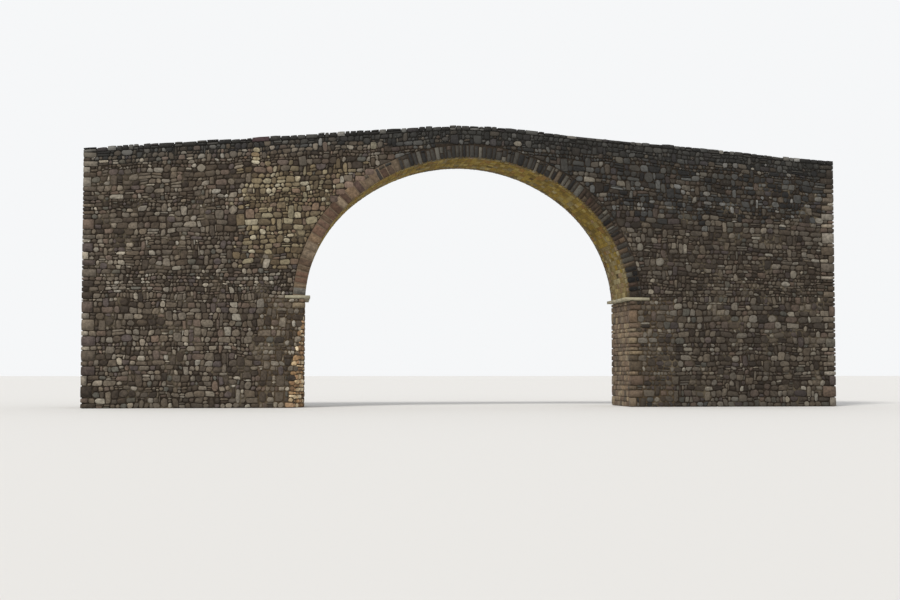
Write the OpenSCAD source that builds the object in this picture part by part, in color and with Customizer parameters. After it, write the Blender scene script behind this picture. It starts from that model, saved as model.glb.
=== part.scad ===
// Humped stone footbridge with one three-centred arch, in millimetres.
// X runs along the road, the front face looks towards -Y, and Z is up.
// The origin is on the ground, under the middle of the arch.

/* [Arch] */
// Radius of the crown arc of the soffit
crown_radius = 6045; // [5400:5:7500]
// Radius of the two haunch arcs of the soffit
haunch_radius = 4900; // [4300:10:5400]
// Angle above the horizontal of the joint where a haunch arc meets the crown arc
haunch_joint = 51.4; // [40:0.2:64]
// Depth of the haunch centres below the springing
haunch_centre_drop = 370; // [100:10:700]
// Radial height of the face ring stones
ring_height = 430; // [300:10:600]
// Thickness of one ring stone along the soffit
ring_stone = 165; // [120:5:400]
// Open joint between two ring stones, and between two courses of the vault
ring_joint = 10; // [4:1:20]
// Radial thickness of the vault between the rings
vault_thickness = 400; // [250:10:500]
// Width of one course of the vault along the soffit
vault_course = 330; // [200:10:500]

/* [Abutments and imposts] */
// Height of the springing above the ground
springing_height = 3800; // [2400:50:5000]
// Length of an abutment along the road
abutment_length = 1600; // [1000:50:2400]
// Height of the impost course
impost_height = 120; // [60:10:240]
// Reach of the impost into the opening
impost_reach = 170; // [60:10:300]
// Length of the impost that is built into the abutment
impost_tail = 700; // [450:10:900]
// Width that the worn corner has lost at its foot, along the road
worn_length = 370; // [100:10:600]
// Depth of the worn corner at its foot, along the jamb
worn_depth = 900; // [300:50:1400]

/* [Walls] */
// Whole length of the bridge
bridge_length = 26000; // [22000:100:30000]
// Width over the two faces
bridge_width = 2900; // [2300:50:4000]
// Thickness of the face walls, and depth of the ring stones
wall_thickness = 450; // [350:10:600]
// Thickness of the walls that close the two ends
end_wall_thickness = 450; // [300:10:700]

/* [Road] */
// Fall of the two ramps, as rise over run
ramp_grade = 0.082; // [0.04:0.002:0.11]
// Half of the length of the rounded crest
crest_reach = 1500; // [800:50:2400]
// Masonry between the ring and the paving at the crown
crown_cover = 50; // [30:5:200]
// Thickness of the paving
paving_thickness = 100; // [60:5:160]

/* [Parapets] */
// Height of the parapet over the road
parapet_height = 540; // [300:10:900]
// Thickness of the parapet
parapet_thickness = 350; // [250:10:440]
// Height of the top course, which is part of the parapet height
top_course_height = 180; // [100:10:250]

/* [Hidden] */
// Sides of a full circle
$fn = 360;
half_length = bridge_length / 2;
half_width = bridge_width / 2;
inner_width = bridge_width - 2 * wall_thickness;
road_width = bridge_width - 2 * parapet_thickness;
// Length that a cutting shape runs past what it cuts
past = 100;
// Play between two arcs that would otherwise only just touch
hair = 0.05;

// The haunch arcs and the crown arc share a tangent, so both centres lie on the haunch joint.
haunch_centre_x = (crown_radius - haunch_radius) * cos(haunch_joint);
haunch_centre_z = springing_height - haunch_centre_drop;
crown_centre_z = haunch_centre_z - (crown_radius - haunch_radius) * sin(haunch_joint);
springing_angle = asin(haunch_centre_drop / haunch_radius);
half_span = haunch_centre_x + haunch_radius * cos(springing_angle);
rise = crown_centre_z + crown_radius - springing_height;

abutment_end_x = half_span + abutment_length;

// Levels over the crown: the bed under the paving, the road and the wall top
bed_level = springing_height + rise + ring_height + crown_cover;
road_level = bed_level + paving_thickness;
top_level = road_level + parapet_height;
top_course_level = top_level - top_course_height;
crest_radius = crest_reach * sqrt(1 + 1 / ramp_grade ^ 2);
crest_fall = crest_radius - sqrt(crest_radius ^ 2 - crest_reach ^ 2);
ramp_fall = ramp_grade * (half_length - crest_reach);

stone_colour = [0.42, 0.38, 0.33];
dark_stone_colour = [0.30, 0.29, 0.27];
ring_colour = [0.36, 0.32, 0.28];
vault_colour = [0.66, 0.52, 0.30];
impost_colour = [0.84, 0.80, 0.70];
paving_colour = [0.47, 0.44, 0.39];
fill_colour = [0.40, 0.33, 0.25];

// Stones along each arc of the soffit: an odd number over the crown gives a keystone
haunch_arc = haunch_radius * (haunch_joint - springing_angle) * PI / 180;
crown_arc = crown_radius * (180 - 2 * haunch_joint) * PI / 180;
function haunch_count(width) = max(3, round(haunch_arc / width));
function crown_count(width) = 2 * floor(crown_arc / width / 2) + 1;

// A point of an arc of the arch, at a radius and an angle up from the horizontal
function haunch_point(radius, angle) =
    [haunch_centre_x + radius * cos(angle), haunch_centre_z + radius * sin(angle)];
function crown_point(radius, angle) =
    [radius * cos(angle), crown_centre_z + radius * sin(angle)];

// Half of a ring joint as an angle, so that the joint is equally wide all the way up
function half_joint(radius) = asin(ring_joint / 2 / radius);

// Stands an elevation drawing up between two distances from the middle of the width
module upright(y_from, y_to) {
    translate([0, y_to, 0])
        rotate([90, 0, 0])
        linear_extrude(y_to - y_from)
        children();
}

// The thicknesses of the bridge that its pieces stand in
module full_slice() { upright(-half_width, half_width) children(); }
module front_wall_slice() { upright(-half_width, inner_width / -2) children(); }
module rear_wall_slice() { upright(inner_width / 2, half_width) children(); }
module core_slice() { upright(inner_width / -2, inner_width / 2) children(); }
module road_slice() { upright(road_width / -2, road_width / 2) children(); }
module front_parapet_slice() { upright(-half_width, road_width / -2) children(); }
module rear_parapet_slice() { upright(road_width / 2, half_width) children(); }

// Every drawing below is of the right half, and this puts one on the left
module left_half() { mirror([1, 0]) children(); }

// Everything under the humped line whose crest is at the given level: the ramp runs on
// to the middle, and what stands over the rounded crest is taken off
module under_hump(level) {
    shoulder = level - crest_fall;
    peak = shoulder + ramp_grade * crest_reach;
    difference() {
        polygon([
            [0, 0],
            [half_length, 0],
            [half_length, shoulder - ramp_fall],
            [crest_reach, shoulder],
            [0, peak]
        ]);
        difference() {
            translate([-past, shoulder]) square([crest_reach + past, peak - shoulder + past]);
            translate([0, level - crest_radius]) circle(crest_radius);
        }
    }
}

// The part of a drawing between two distances along the road
module between_x(x_from, x_to) {
    intersection() {
        children();
        translate([x_from, -past]) square([x_to - x_from, top_level + 2 * past]);
    }
}

// A band of the hump between two crest levels
module hump_band(low, high) {
    difference() {
        under_hump(high);
        under_hump(low);
    }
}

// The arch opening above the springing, grown to the back of a ring. The haunch circle is
// larger by a hair, so that it crosses the crown circle next to their common tangent.
module arch_area(back) {
    joint = crown_point(crown_radius + back, haunch_joint);
    intersection() {
        translate([haunch_centre_x, haunch_centre_z]) circle(haunch_radius + back + hair);
        translate([0, springing_height]) square(half_span + rise + back);
    }
    intersection() {
        translate([0, crown_centre_z]) circle(crown_radius + back);
        translate([0, springing_height]) square([joint[0], rise + back + past]);
    }
}

// The wedge stones of one haunch, of a given height and rough width: the lowest has a
// level bed on the impost
module haunch_stones_drawing(height, width) {
    inner = haunch_radius;
    outer = haunch_radius + height;
    foot = haunch_centre_x + sqrt(outer ^ 2 - haunch_centre_drop ^ 2);
    count = haunch_count(width);
    step = (haunch_joint - springing_angle) / count;
    for (i = [0 : count - 1]) {
        low = springing_angle + i * step;
        high = low + step;
        bed = i == 0
            ? [[half_span, springing_height], [foot, springing_height]]
            : [haunch_point(inner, low + half_joint(inner)),
               haunch_point(outer, low + half_joint(outer))];
        polygon([
            bed[0],
            bed[1],
            haunch_point(outer, high - half_joint(outer)),
            haunch_point(inner, high - half_joint(inner))
        ]);
    }
}

// The wedge stones over the crown, the keystone in the middle
module crown_stones_drawing(height, width) {
    inner = crown_radius;
    outer = crown_radius + height;
    count = crown_count(width);
    step = (180 - 2 * haunch_joint) / count;
    for (i = [0 : count - 1]) {
        low = haunch_joint + i * step;
        high = low + step;
        polygon([
            crown_point(inner, low + half_joint(inner)),
            crown_point(outer, low + half_joint(outer)),
            crown_point(outer, high - half_joint(outer)),
            crown_point(inner, high - half_joint(inner))
        ]);
    }
}

// The two stone sizes of the arch: thin stones in the face rings, wide courses in the vault
module haunch_ring_drawing() { haunch_stones_drawing(ring_height, ring_stone); }
module crown_ring_drawing() { crown_stones_drawing(ring_height, ring_stone); }
module haunch_vault_drawing() { haunch_stones_drawing(vault_thickness, vault_course); }
module crown_vault_drawing() { crown_stones_drawing(vault_thickness, vault_course); }

// The abutment, stepped down for the tail of the impost
module abutment_drawing() {
    impost_bed = springing_height - impost_height;
    polygon([
        [half_span, 0],
        [abutment_end_x, 0],
        [abutment_end_x, springing_height],
        [half_span + impost_tail, springing_height],
        [half_span + impost_tail, impost_bed],
        [half_span, impost_bed]
    ]);
}

module impost_drawing() {
    translate([half_span - impost_reach, springing_height - impost_height])
        square([impost_reach + impost_tail, impost_height]);
}

// The face wall over the ring and the abutment
module spandrel_drawing() {
    difference() {
        between_x(0, abutment_end_x) under_hump(bed_level);
        square([abutment_end_x, springing_height]);
        arch_area(ring_height);
    }
}

module wing_wall_drawing() { between_x(abutment_end_x, half_length) under_hump(bed_level); }

module end_wall_drawing() {
    between_x(half_length - end_wall_thickness, half_length) under_hump(bed_level);
}

module fill_drawing() {
    difference() {
        between_x(0, half_length - end_wall_thickness) under_hump(bed_level);
        square([abutment_end_x, springing_height]);
        arch_area(vault_thickness);
    }
}

module ramp_drawing() {
    between_x(crest_reach, half_length) hump_band(bed_level, road_level);
}

// The paving of the rounded crest, on both sides of the middle
module crest_drawing() {
    between_x(0, crest_reach) hump_band(bed_level, road_level);
    left_half() between_x(0, crest_reach) hump_band(bed_level, road_level);
}

module parapet_drawing() { hump_band(bed_level, top_course_level); }

module top_course_drawing() { hump_band(top_course_level, top_level); }

// What has broken off the corner below the impost, widest at the foot
module worn_corner() {
    translate([-half_span, -half_width, 0])
        linear_extrude(springing_height - impost_height, scale = 0)
        polygon([[0, 0], [-worn_length, 0], [0, worn_depth]]);
}

module left_abutment() {
    color(stone_colour) difference() {
        full_slice() left_half() abutment_drawing();
        worn_corner();
    }
}
module right_abutment() { color(stone_colour) full_slice() abutment_drawing(); }

module left_impost() { color(impost_colour) full_slice() left_half() impost_drawing(); }
module right_impost() { color(impost_colour) full_slice() impost_drawing(); }

module front_left_haunch_ring() {
    color(ring_colour) front_wall_slice() left_half() haunch_ring_drawing();
}
module front_crown_ring() { color(ring_colour) front_wall_slice() crown_ring_drawing(); }
module front_right_haunch_ring() {
    color(ring_colour) front_wall_slice() haunch_ring_drawing();
}
module rear_left_haunch_ring() {
    color(ring_colour) rear_wall_slice() left_half() haunch_ring_drawing();
}
module rear_crown_ring() { color(ring_colour) rear_wall_slice() crown_ring_drawing(); }
module rear_right_haunch_ring() {
    color(ring_colour) rear_wall_slice() haunch_ring_drawing();
}

module left_haunch_vault() {
    color(vault_colour) core_slice() left_half() haunch_vault_drawing();
}
module crown_vault() { color(vault_colour) core_slice() crown_vault_drawing(); }
module right_haunch_vault() { color(vault_colour) core_slice() haunch_vault_drawing(); }

module front_left_spandrel() {
    color(stone_colour) front_wall_slice() left_half() spandrel_drawing();
}
module front_right_spandrel() { color(stone_colour) front_wall_slice() spandrel_drawing(); }
module rear_left_spandrel() {
    color(stone_colour) rear_wall_slice() left_half() spandrel_drawing();
}
module rear_right_spandrel() { color(stone_colour) rear_wall_slice() spandrel_drawing(); }

module front_left_wing_wall() {
    color(stone_colour) front_wall_slice() left_half() wing_wall_drawing();
}
module front_right_wing_wall() { color(stone_colour) front_wall_slice() wing_wall_drawing(); }
module rear_left_wing_wall() {
    color(stone_colour) rear_wall_slice() left_half() wing_wall_drawing();
}
module rear_right_wing_wall() { color(stone_colour) rear_wall_slice() wing_wall_drawing(); }

module left_end_wall() { color(stone_colour) core_slice() left_half() end_wall_drawing(); }
module right_end_wall() { color(stone_colour) core_slice() end_wall_drawing(); }

module left_fill() { color(fill_colour) core_slice() left_half() fill_drawing(); }
module right_fill() { color(fill_colour) core_slice() fill_drawing(); }

module left_ramp_paving() { color(paving_colour) road_slice() left_half() ramp_drawing(); }
module crown_paving() { color(paving_colour) road_slice() crest_drawing(); }
module right_ramp_paving() { color(paving_colour) road_slice() ramp_drawing(); }

module front_left_parapet() {
    color(dark_stone_colour) front_parapet_slice() left_half() parapet_drawing();
}
module front_right_parapet() {
    color(dark_stone_colour) front_parapet_slice() parapet_drawing();
}
module rear_left_parapet() {
    color(dark_stone_colour) rear_parapet_slice() left_half() parapet_drawing();
}
module rear_right_parapet() {
    color(dark_stone_colour) rear_parapet_slice() parapet_drawing();
}

module front_left_top_course() {
    color(dark_stone_colour) front_parapet_slice() left_half() top_course_drawing();
}
module front_right_top_course() {
    color(dark_stone_colour) front_parapet_slice() top_course_drawing();
}
module rear_left_top_course() {
    color(dark_stone_colour) rear_parapet_slice() left_half() top_course_drawing();
}
module rear_right_top_course() {
    color(dark_stone_colour) rear_parapet_slice() top_course_drawing();
}

left_abutment();
right_abutment();
left_impost();
right_impost();
front_left_haunch_ring();
front_crown_ring();
front_right_haunch_ring();
rear_left_haunch_ring();
rear_crown_ring();
rear_right_haunch_ring();
left_haunch_vault();
crown_vault();
right_haunch_vault();
front_left_spandrel();
front_right_spandrel();
rear_left_spandrel();
rear_right_spandrel();
front_left_wing_wall();
front_right_wing_wall();
rear_left_wing_wall();
rear_right_wing_wall();
left_end_wall();
right_end_wall();
left_fill();
right_fill();
left_ramp_paving();
crown_paving();
right_ramp_paving();
front_left_parapet();
front_right_parapet();
rear_left_parapet();
rear_right_parapet();
front_left_top_course();
front_right_top_course();
rear_left_top_course();
rear_right_top_course();
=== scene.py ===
# Looks of the stone arch bridge: every stone is laid in place of the plain CAD solids.
# Metres, in the frame of the CAD: X along the road, the front face towards -Y, Z up.
import math
import random
from collections import defaultdict
from typing import NamedTuple

import bpy
import numpy as np
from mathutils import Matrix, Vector


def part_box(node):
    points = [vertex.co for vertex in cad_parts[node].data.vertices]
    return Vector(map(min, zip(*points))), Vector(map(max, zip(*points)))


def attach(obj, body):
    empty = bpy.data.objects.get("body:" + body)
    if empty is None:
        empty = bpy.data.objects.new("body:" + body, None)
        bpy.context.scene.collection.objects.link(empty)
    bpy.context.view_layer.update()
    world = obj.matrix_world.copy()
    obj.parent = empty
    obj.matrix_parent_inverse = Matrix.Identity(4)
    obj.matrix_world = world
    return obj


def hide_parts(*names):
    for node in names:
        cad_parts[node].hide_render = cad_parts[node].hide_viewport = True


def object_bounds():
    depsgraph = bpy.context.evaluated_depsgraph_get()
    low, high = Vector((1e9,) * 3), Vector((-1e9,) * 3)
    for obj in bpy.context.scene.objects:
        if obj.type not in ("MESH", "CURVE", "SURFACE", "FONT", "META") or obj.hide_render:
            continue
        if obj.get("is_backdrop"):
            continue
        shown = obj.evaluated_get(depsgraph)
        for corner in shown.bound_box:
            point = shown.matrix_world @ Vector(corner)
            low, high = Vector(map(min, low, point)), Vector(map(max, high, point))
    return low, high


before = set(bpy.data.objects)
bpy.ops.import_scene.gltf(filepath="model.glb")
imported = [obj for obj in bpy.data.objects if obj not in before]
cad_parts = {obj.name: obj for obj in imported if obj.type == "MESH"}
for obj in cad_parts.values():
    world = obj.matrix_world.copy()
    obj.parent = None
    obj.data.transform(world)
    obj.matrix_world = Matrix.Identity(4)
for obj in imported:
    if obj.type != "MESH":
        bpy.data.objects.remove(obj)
cad_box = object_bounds()

# Driving sizes of the arch, the hump and the broken corner, repeated from the source of the CAD
CROWN_RADIUS = 6.045
HAUNCH_RADIUS = 4.9
HAUNCH_JOINT = math.radians(51.4)
CENTRE_DROP = 0.37
RING_HEIGHT = 0.43
VAULT_HEIGHT = 0.4
RAMP_GRADE = 0.082
WORN_LENGTH = 0.37
WORN_DEPTH = 0.9

LOW, HIGH = 0, 1
X, Y, Z = 0, 1, 2


def edge_of(node, end, axis):
    """One edge of a CAD node, to the millimetre."""
    return round(float(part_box(node)[end][axis]), 3)


# Sizes and levels from the boxes of the CAD nodes; the levels are those over the crown
HALF_LENGTH = -edge_of("left_end_wall", LOW, X)
HALF_WIDTH = edge_of("left_abutment", HIGH, Y)
CORE_HALF = edge_of("crown_vault", HIGH, Y)
ROAD_HALF = edge_of("crown_paving", HIGH, Y)
CREST_REACH = edge_of("crown_paving", HIGH, X)
IMPOST_BED = edge_of("left_impost", LOW, Z)
SPRINGING = edge_of("left_abutment", HIGH, Z)
BED = edge_of("front_left_spandrel", HIGH, Z)
ROAD = edge_of("crown_paving", HIGH, Z)
COPING = edge_of("front_left_parapet", HIGH, Z)
TOP = edge_of("front_left_top_course", HIGH, Z)

HAUNCH_X = (CROWN_RADIUS - HAUNCH_RADIUS) * math.cos(HAUNCH_JOINT)
HAUNCH_Z = SPRINGING - CENTRE_DROP
CROWN_Z = HAUNCH_Z - (CROWN_RADIUS - HAUNCH_RADIUS) * math.sin(HAUNCH_JOINT)
SPRING_ANGLE = math.asin(CENTRE_DROP / HAUNCH_RADIUS)
HALF_SPAN = HAUNCH_X + HAUNCH_RADIUS * math.cos(SPRING_ANGLE)
ABUTMENT_LENGTH = round(edge_of("left_abutment", HIGH, X) - edge_of("left_abutment", LOW, X), 3)
ABUTMENT_END = HALF_SPAN + ABUTMENT_LENGTH
IMPOST_REACH = round(HALF_SPAN + edge_of("left_impost", HIGH, X), 3)
IMPOST_TAIL = round(-edge_of("left_impost", LOW, X) - HALF_SPAN, 3)
HAUNCH_ARC = HAUNCH_RADIUS * (HAUNCH_JOINT - SPRING_ANGLE)
CROWN_ARC = CROWN_RADIUS * (math.pi - 2 * HAUNCH_JOINT)
ARC = 2 * HAUNCH_ARC + CROWN_ARC
ARC_JOINTS = (HAUNCH_ARC, HAUNCH_ARC + CROWN_ARC, ARC)
CREST_RADIUS = CREST_REACH * math.sqrt(1 + 1 / RAMP_GRADE ** 2)
CREST_FALL = CREST_RADIUS - math.sqrt(CREST_RADIUS ** 2 - CREST_REACH ** 2)
WORN_SLANT = math.hypot(WORN_LENGTH, WORN_DEPTH)
WORN_NORMAL = (round(WORN_DEPTH / WORN_SLANT, 3), round(WORN_LENGTH / WORN_SLANT, 3))

# How far the mortar lies behind the faces of the stones
WALL_JOINT = 0.048
RING_JOINT = 0.022
VAULT_JOINT = 0.010

# Width of the joints between the stones of a surface
FACE_GAP = 0.013
SIDE_GAP = 0.011
CORNER_GAP = 0.012
ROAD_GAP = 0.016

# Two places this close are the same, and a full turn in radians
CLOSE = 1e-6
TURN = 6.28

FACES = ("front", "rear")
OUT = (-1, 1)  # which way each face looks along Y
SIDES = {-1: "left", 1: "right"}


def side_of(x):
    return "left" if x < 0 else "right"


def fall(x):
    """How far the hump has come down at each x of an array."""
    away = np.abs(np.asarray(x, float))
    crest = CREST_RADIUS - np.sqrt(CREST_RADIUS ** 2 - np.minimum(away, CREST_REACH) ** 2)
    return crest + RAMP_GRADE * np.maximum(away - CREST_REACH, 0)


def fall_at(x):
    """The same for one x."""
    away = abs(x)
    if away > CREST_REACH:
        return CREST_FALL + RAMP_GRADE * (away - CREST_REACH)
    return CREST_RADIUS - math.sqrt(CREST_RADIUS ** 2 - away ** 2)


def along_arch(s, r):
    """The point at s along the soffit from the left springing, r outside the soffit."""
    s = np.asarray(s, float)
    r = np.asarray(r, float) + 0 * s
    right = s > ARC / 2
    t = np.where(right, ARC - s, s)
    in_haunch = t < HAUNCH_ARC
    crown_turn = HAUNCH_JOINT + (t - HAUNCH_ARC) / CROWN_RADIUS
    turn = np.where(in_haunch, SPRING_ANGLE + t / HAUNCH_RADIUS, crown_turn)
    radius = np.where(in_haunch, HAUNCH_RADIUS, CROWN_RADIUS) + r
    x = np.where(in_haunch, HAUNCH_X, 0) + radius * np.cos(turn)
    z = np.where(in_haunch, HAUNCH_Z, CROWN_Z) + radius * np.sin(turn)
    # The springers have a level bed
    on_bed = t < CLOSE
    x = np.where(on_bed, HAUNCH_X + np.sqrt(radius ** 2 - CENTRE_DROP ** 2), x)
    z = np.where(on_bed, SPRINGING, z)
    return np.where(right, x, -x), z


def arch_part(s):
    """The part of the arch that s lies in."""
    if HAUNCH_ARC < s < HAUNCH_ARC + CROWN_ARC:
        return "crown"
    return ("left" if s < ARC / 2 else "right") + "_haunch"


def ramp01(low, high, value):
    """A smooth step from 0 at low to 1 at high."""
    t = min(max((value - low) / (high - low), 0), 1)
    return t * t * (3 - 2 * t)


def plateau(value, start, full, fading, gone):
    """1 between full and fading, and 0 outside start and gone."""
    return ramp01(start, full, value) * (1 - ramp01(fading, gone, value))


def worn_share(z):
    """How much of the loss at the foot of the broken corner is left at a height."""
    return 1 - min(z / IMPOST_BED, 1)


# Places on each surface: two coordinates in it and the depth behind it, as x, y and z
def worn_place(t, z, d):
    share = 1 - np.minimum(z / IMPOST_BED, 1)
    x = -HALF_SPAN - WORN_LENGTH * share * (1 - t)
    y = -HALF_WIDTH + WORN_DEPTH * share * t
    return x - WORN_NORMAL[0] * d, y + WORN_NORMAL[1] * d, z


def arch_place(s, y, d):
    x, z = along_arch(s, d)
    return x, y + 0 * x, z


PLACES = {
    "road": lambda x, y, d: (x, y, ROAD - fall(x) - d),
    "worn": worn_place,
    "arch": arch_place,
    "ring": arch_place,
    "solid": lambda x, y, z: (x, y, z),
    "hump": lambda x, y, v: (x, y, v - fall(x)),
}
for out, face, side in ((-1, "front", "left"), (1, "rear", "right")):
    PLACES[face] = lambda x, z, d, out=out: (x, out * (HALF_WIDTH - d), z)
    PLACES[face + "_inner"] = lambda x, z, d, out=out: (x, out * (ROAD_HALF + d), z)
    PLACES[side + "_end"] = lambda y, z, d, out=out: (out * (HALF_LENGTH - d), y, z)
    PLACES[side + "_jamb"] = lambda y, z, d, out=out: (out * (HALF_SPAN + d), y, z)

# Colours of the stones in 0 to 255, each with its share
COLOURS = {
    "grey_brown": [
        (58, 50, 42, 0.13), (74, 65, 55, 0.18), (89, 80, 69, 0.20), (104, 95, 83, 0.16),
        (122, 114, 102, 0.10), (96, 83, 73, 0.08), (80, 71, 67, 0.06), (142, 135, 122, 0.05),
        (86, 83, 75, 0.04),
    ],
    "warm": [
        (77, 66, 50, 0.14), (98, 86, 67, 0.23), (114, 102, 80, 0.25), (131, 121, 98, 0.17),
        (107, 90, 75, 0.12), (150, 141, 120, 0.09),
    ],
    "pinkish": [(102, 85, 74, 0.4), (114, 97, 85, 0.3), (92, 77, 67, 0.2), (126, 111, 98, 0.1)],
    "dark": [
        (38, 37, 36, 0.24), (54, 53, 51, 0.24), (72, 71, 68, 0.21), (94, 93, 89, 0.15),
        (62, 58, 58, 0.08), (120, 118, 113, 0.08),
    ],
    "ring_grey": [
        (36, 34, 32, 0.25), (55, 52, 48, 0.25), (80, 76, 69, 0.24), (106, 101, 91, 0.17),
        (130, 125, 113, 0.09),
    ],
    "ring_warm": [
        (94, 73, 59, 0.3), (103, 86, 68, 0.22), (84, 68, 54, 0.24), (112, 97, 79, 0.14),
        (78, 61, 52, 0.1),
    ],
    # Soffit colours more golden than the stone itself: partly its own colour, partly painted golden
    # light
    "ochre_and_golden_light": [
        (130, 108, 42, 0.27), (142, 120, 52, 0.25), (113, 93, 37, 0.19), (150, 132, 74, 0.13),
        (130, 100, 48, 0.10), (118, 106, 70, 0.06),
    ],
    "buff": [
        (139, 124, 84, 0.3), (128, 112, 73, 0.25), (151, 138, 100, 0.2), (117, 101, 63, 0.15),
        (140, 118, 87, 0.1),
    ],
    "jamb": [
        (110, 93, 76, 0.25), (122, 106, 86, 0.25), (98, 82, 68, 0.2), (134, 119, 96, 0.15),
        (88, 77, 63, 0.15),
    ],
    # Pale core stones of the broken corner: partly bare stone, partly painted sunlight
    "core": [
        (188, 165, 130, 0.25), (171, 140, 108, 0.2), (206, 190, 160, 0.2), (150, 121, 88, 0.2),
        (128, 102, 76, 0.15),
    ],
    "pale": [(158, 152, 130, 0.4), (147, 140, 119, 0.35), (172, 166, 146, 0.25)],
    "cobble": [
        (96, 89, 78, 0.25), (110, 102, 88, 0.25), (84, 78, 70, 0.2), (122, 112, 95, 0.15),
        (100, 86, 72, 0.15),
    ],
}


def linear(*rgb):
    """A colour in 0 to 255 as linear light."""
    shares = [c / 255 for c in rgb]
    return np.array([c / 12.92 if c <= 0.04045 else ((c + 0.055) / 1.055) ** 2.4 for c in shares])


PALETTES = {
    name: ([linear(*row[:3]) for row in rows], [row[3] for row in rows])
    for name, rows in COLOURS.items()
}


def tint(rnd, palette, gain=1.0):
    """A stone's own colour, from a palette."""
    colour = rnd.choices(*PALETTES[palette])[0]
    warm = rnd.uniform(-0.030, 0.035)
    level = gain * math.exp(rnd.gauss(0, 0.10))
    return colour * level * np.array([1 + warm, 1.0, 1 - 1.4 * warm])


def weathered(rnd, mean, spread):
    """A stone's own weathering, 0 to 1."""
    return min(max(rnd.gauss(mean, spread), 0), 1)


class Cut(NamedTuple):
    """How the stones of a surface are cut."""
    edge: float  # depth of the rim of a stone behind the surface
    proud: float  # mean depth of its middle
    bevel: float  # width of its worn border
    corner: float  # size of its knocked corners
    double: float = 0.62  # share of corners cut twice
    tilt: float = 1.0  # how far its face leans
    round_share: float = 0.0  # share of rounded stones
    loose: float = 0.0  # share of stones smaller than their place
    back: float = 0.075  # depth to which it is modelled


FACE_CUT = Cut(0.031, 0.008, 0.040, 0.046, 0.85, 2.2, 0.32, 0.45)
SUNK = 0.012
SUNK_CUT = FACE_CUT._replace(edge=FACE_CUT.edge + SUNK * 0.5, proud=FACE_CUT.proud + SUNK * 0.4)
STAND_OUT_CUT = Cut(0.024, 0.004, 0.034, 0.05, 0.85)
END_CUT = Cut(0.029, 0.008, 0.040, 0.044, 0.8, 2.2, 0.35, 0.45)
JAMB_CUT = Cut(0.024, 0.006, 0.030, 0.032, 0.75, 1.4)
INSIDE_CUT = Cut(0.027, 0.007, 0.034, 0.036, 0.75, 1.8, 0.0, 0.4)
ROAD_CUT = Cut(0.014, 0.003, 0.032, 0.038, back=0.05)
VAULT_CUT = Cut(0.0045, 0.0014, 0.012, 0.010, back=0.05)


class Run(NamedTuple):
    """Widths of the stones of a course."""
    least: float
    most: float
    shape: float = 0.30  # logarithm of the usual width over the height
    spread: float = 0.36  # its spread
    lean: float = 0.0  # how far the joints between them lean at most


FACE_RUN = Run(0.10, 0.44, 0.12, 0.34, 0.026)
END_RUN = Run(0.10, 0.42, 0.16, lean=0.022)
JAMB_RUN = Run(0.10, 0.42, 0.42, lean=0.014)
WORN_RUN = Run(0.07, 0.30, spread=0.45)
VAULT_RUN = Run(0.20, 0.62, 0.15, 0.3, 0.008)
IMPOST_RUN = Run(0.45, 0.95, 0.0, 0.2)
INSIDE_RUN = Run(0.09, 0.38, lean=0.015)
ROW_RUN = Run(0.14, 0.27, 0.0, 0.18)
COBBLE_RUN = Run(0.11, 0.34, 0.05, 0.3)

# Stones that wait to be shaped, by (node, place, corners) or (node, place)
outlines = defaultdict(list)
blocks = defaultdict(list)


def between(p, q, t):
    """The point at share t of the way from p to q."""
    return p[0] + (q[0] - p[0]) * t, p[1] + (q[1] - p[1]) * t


def middle_of(outline):
    return sum(p[0] for p in outline) / len(outline), sum(p[1] for p in outline) / len(outline)


def knock_corners(rnd, outline, size, double, round_share=0.0):
    """Takes the corners off a stone, so that no two stones are alike."""
    out = []
    middle = middle_of(outline)
    rounded = len(outline) == 4 and rnd.random() < round_share
    for i, here in enumerate(outline):
        before, after = outline[i - 1], outline[(i + 1) % len(outline)]
        back, on = math.dist(before, here), math.dist(after, here)
        cut = size * rnd.uniform(0.35, 1.6)
        least = min(back, on)
        if rounded:
            steps = [
                (other, least * rnd.uniform(0.22, 0.44) / far)
                for other, far in ((before, back), (after, on))
            ]
            out += [between(here, other, t) for other, t in steps]
        elif rnd.random() < double and least > 0.035:
            share = rnd.uniform(0.6, 1.3)
            out.append(between(here, before, min(0.42, cut * share / back)))
            out.append(between(here, after, min(0.42, cut / on)))
        else:
            out.append(between(here, middle, min(0.3, 0.5 * cut / math.dist(middle, here))))
    return out


def clip(outline, pu, pw, nu, nw):
    """The part of an outline on the side of a line that its normal points to."""
    out = []
    for i, p in enumerate(outline):
        q = outline[(i + 1) % len(outline)]
        a = (p[0] - pu) * nu + (p[1] - pw) * nw
        b = (q[0] - pu) * nu + (q[1] - pw) * nw
        if a >= 0:
            out.append(p)
        if (a >= 0) != (b >= 0):
            out.append(between(p, q, a / (a - b)))
    return out


def sides_of(outline):
    return zip(outline, outline[1:] + outline[:1])


def area(outline):
    return sum(a[0] * b[1] - b[0] * a[1] for a, b in sides_of(outline)) / 2


def thin(outline):
    """The least width of an outline, roughly."""
    least = 9.0
    for (au, aw), (bu, bw) in sides_of(outline):
        side = math.hypot(bu - au, bw - aw)
        if side > 0.02:
            reach = max(abs((u - au) * (bw - aw) - (w - aw) * (bu - au)) for u, w in outline)
            least = min(least, reach / side)
    return least


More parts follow.
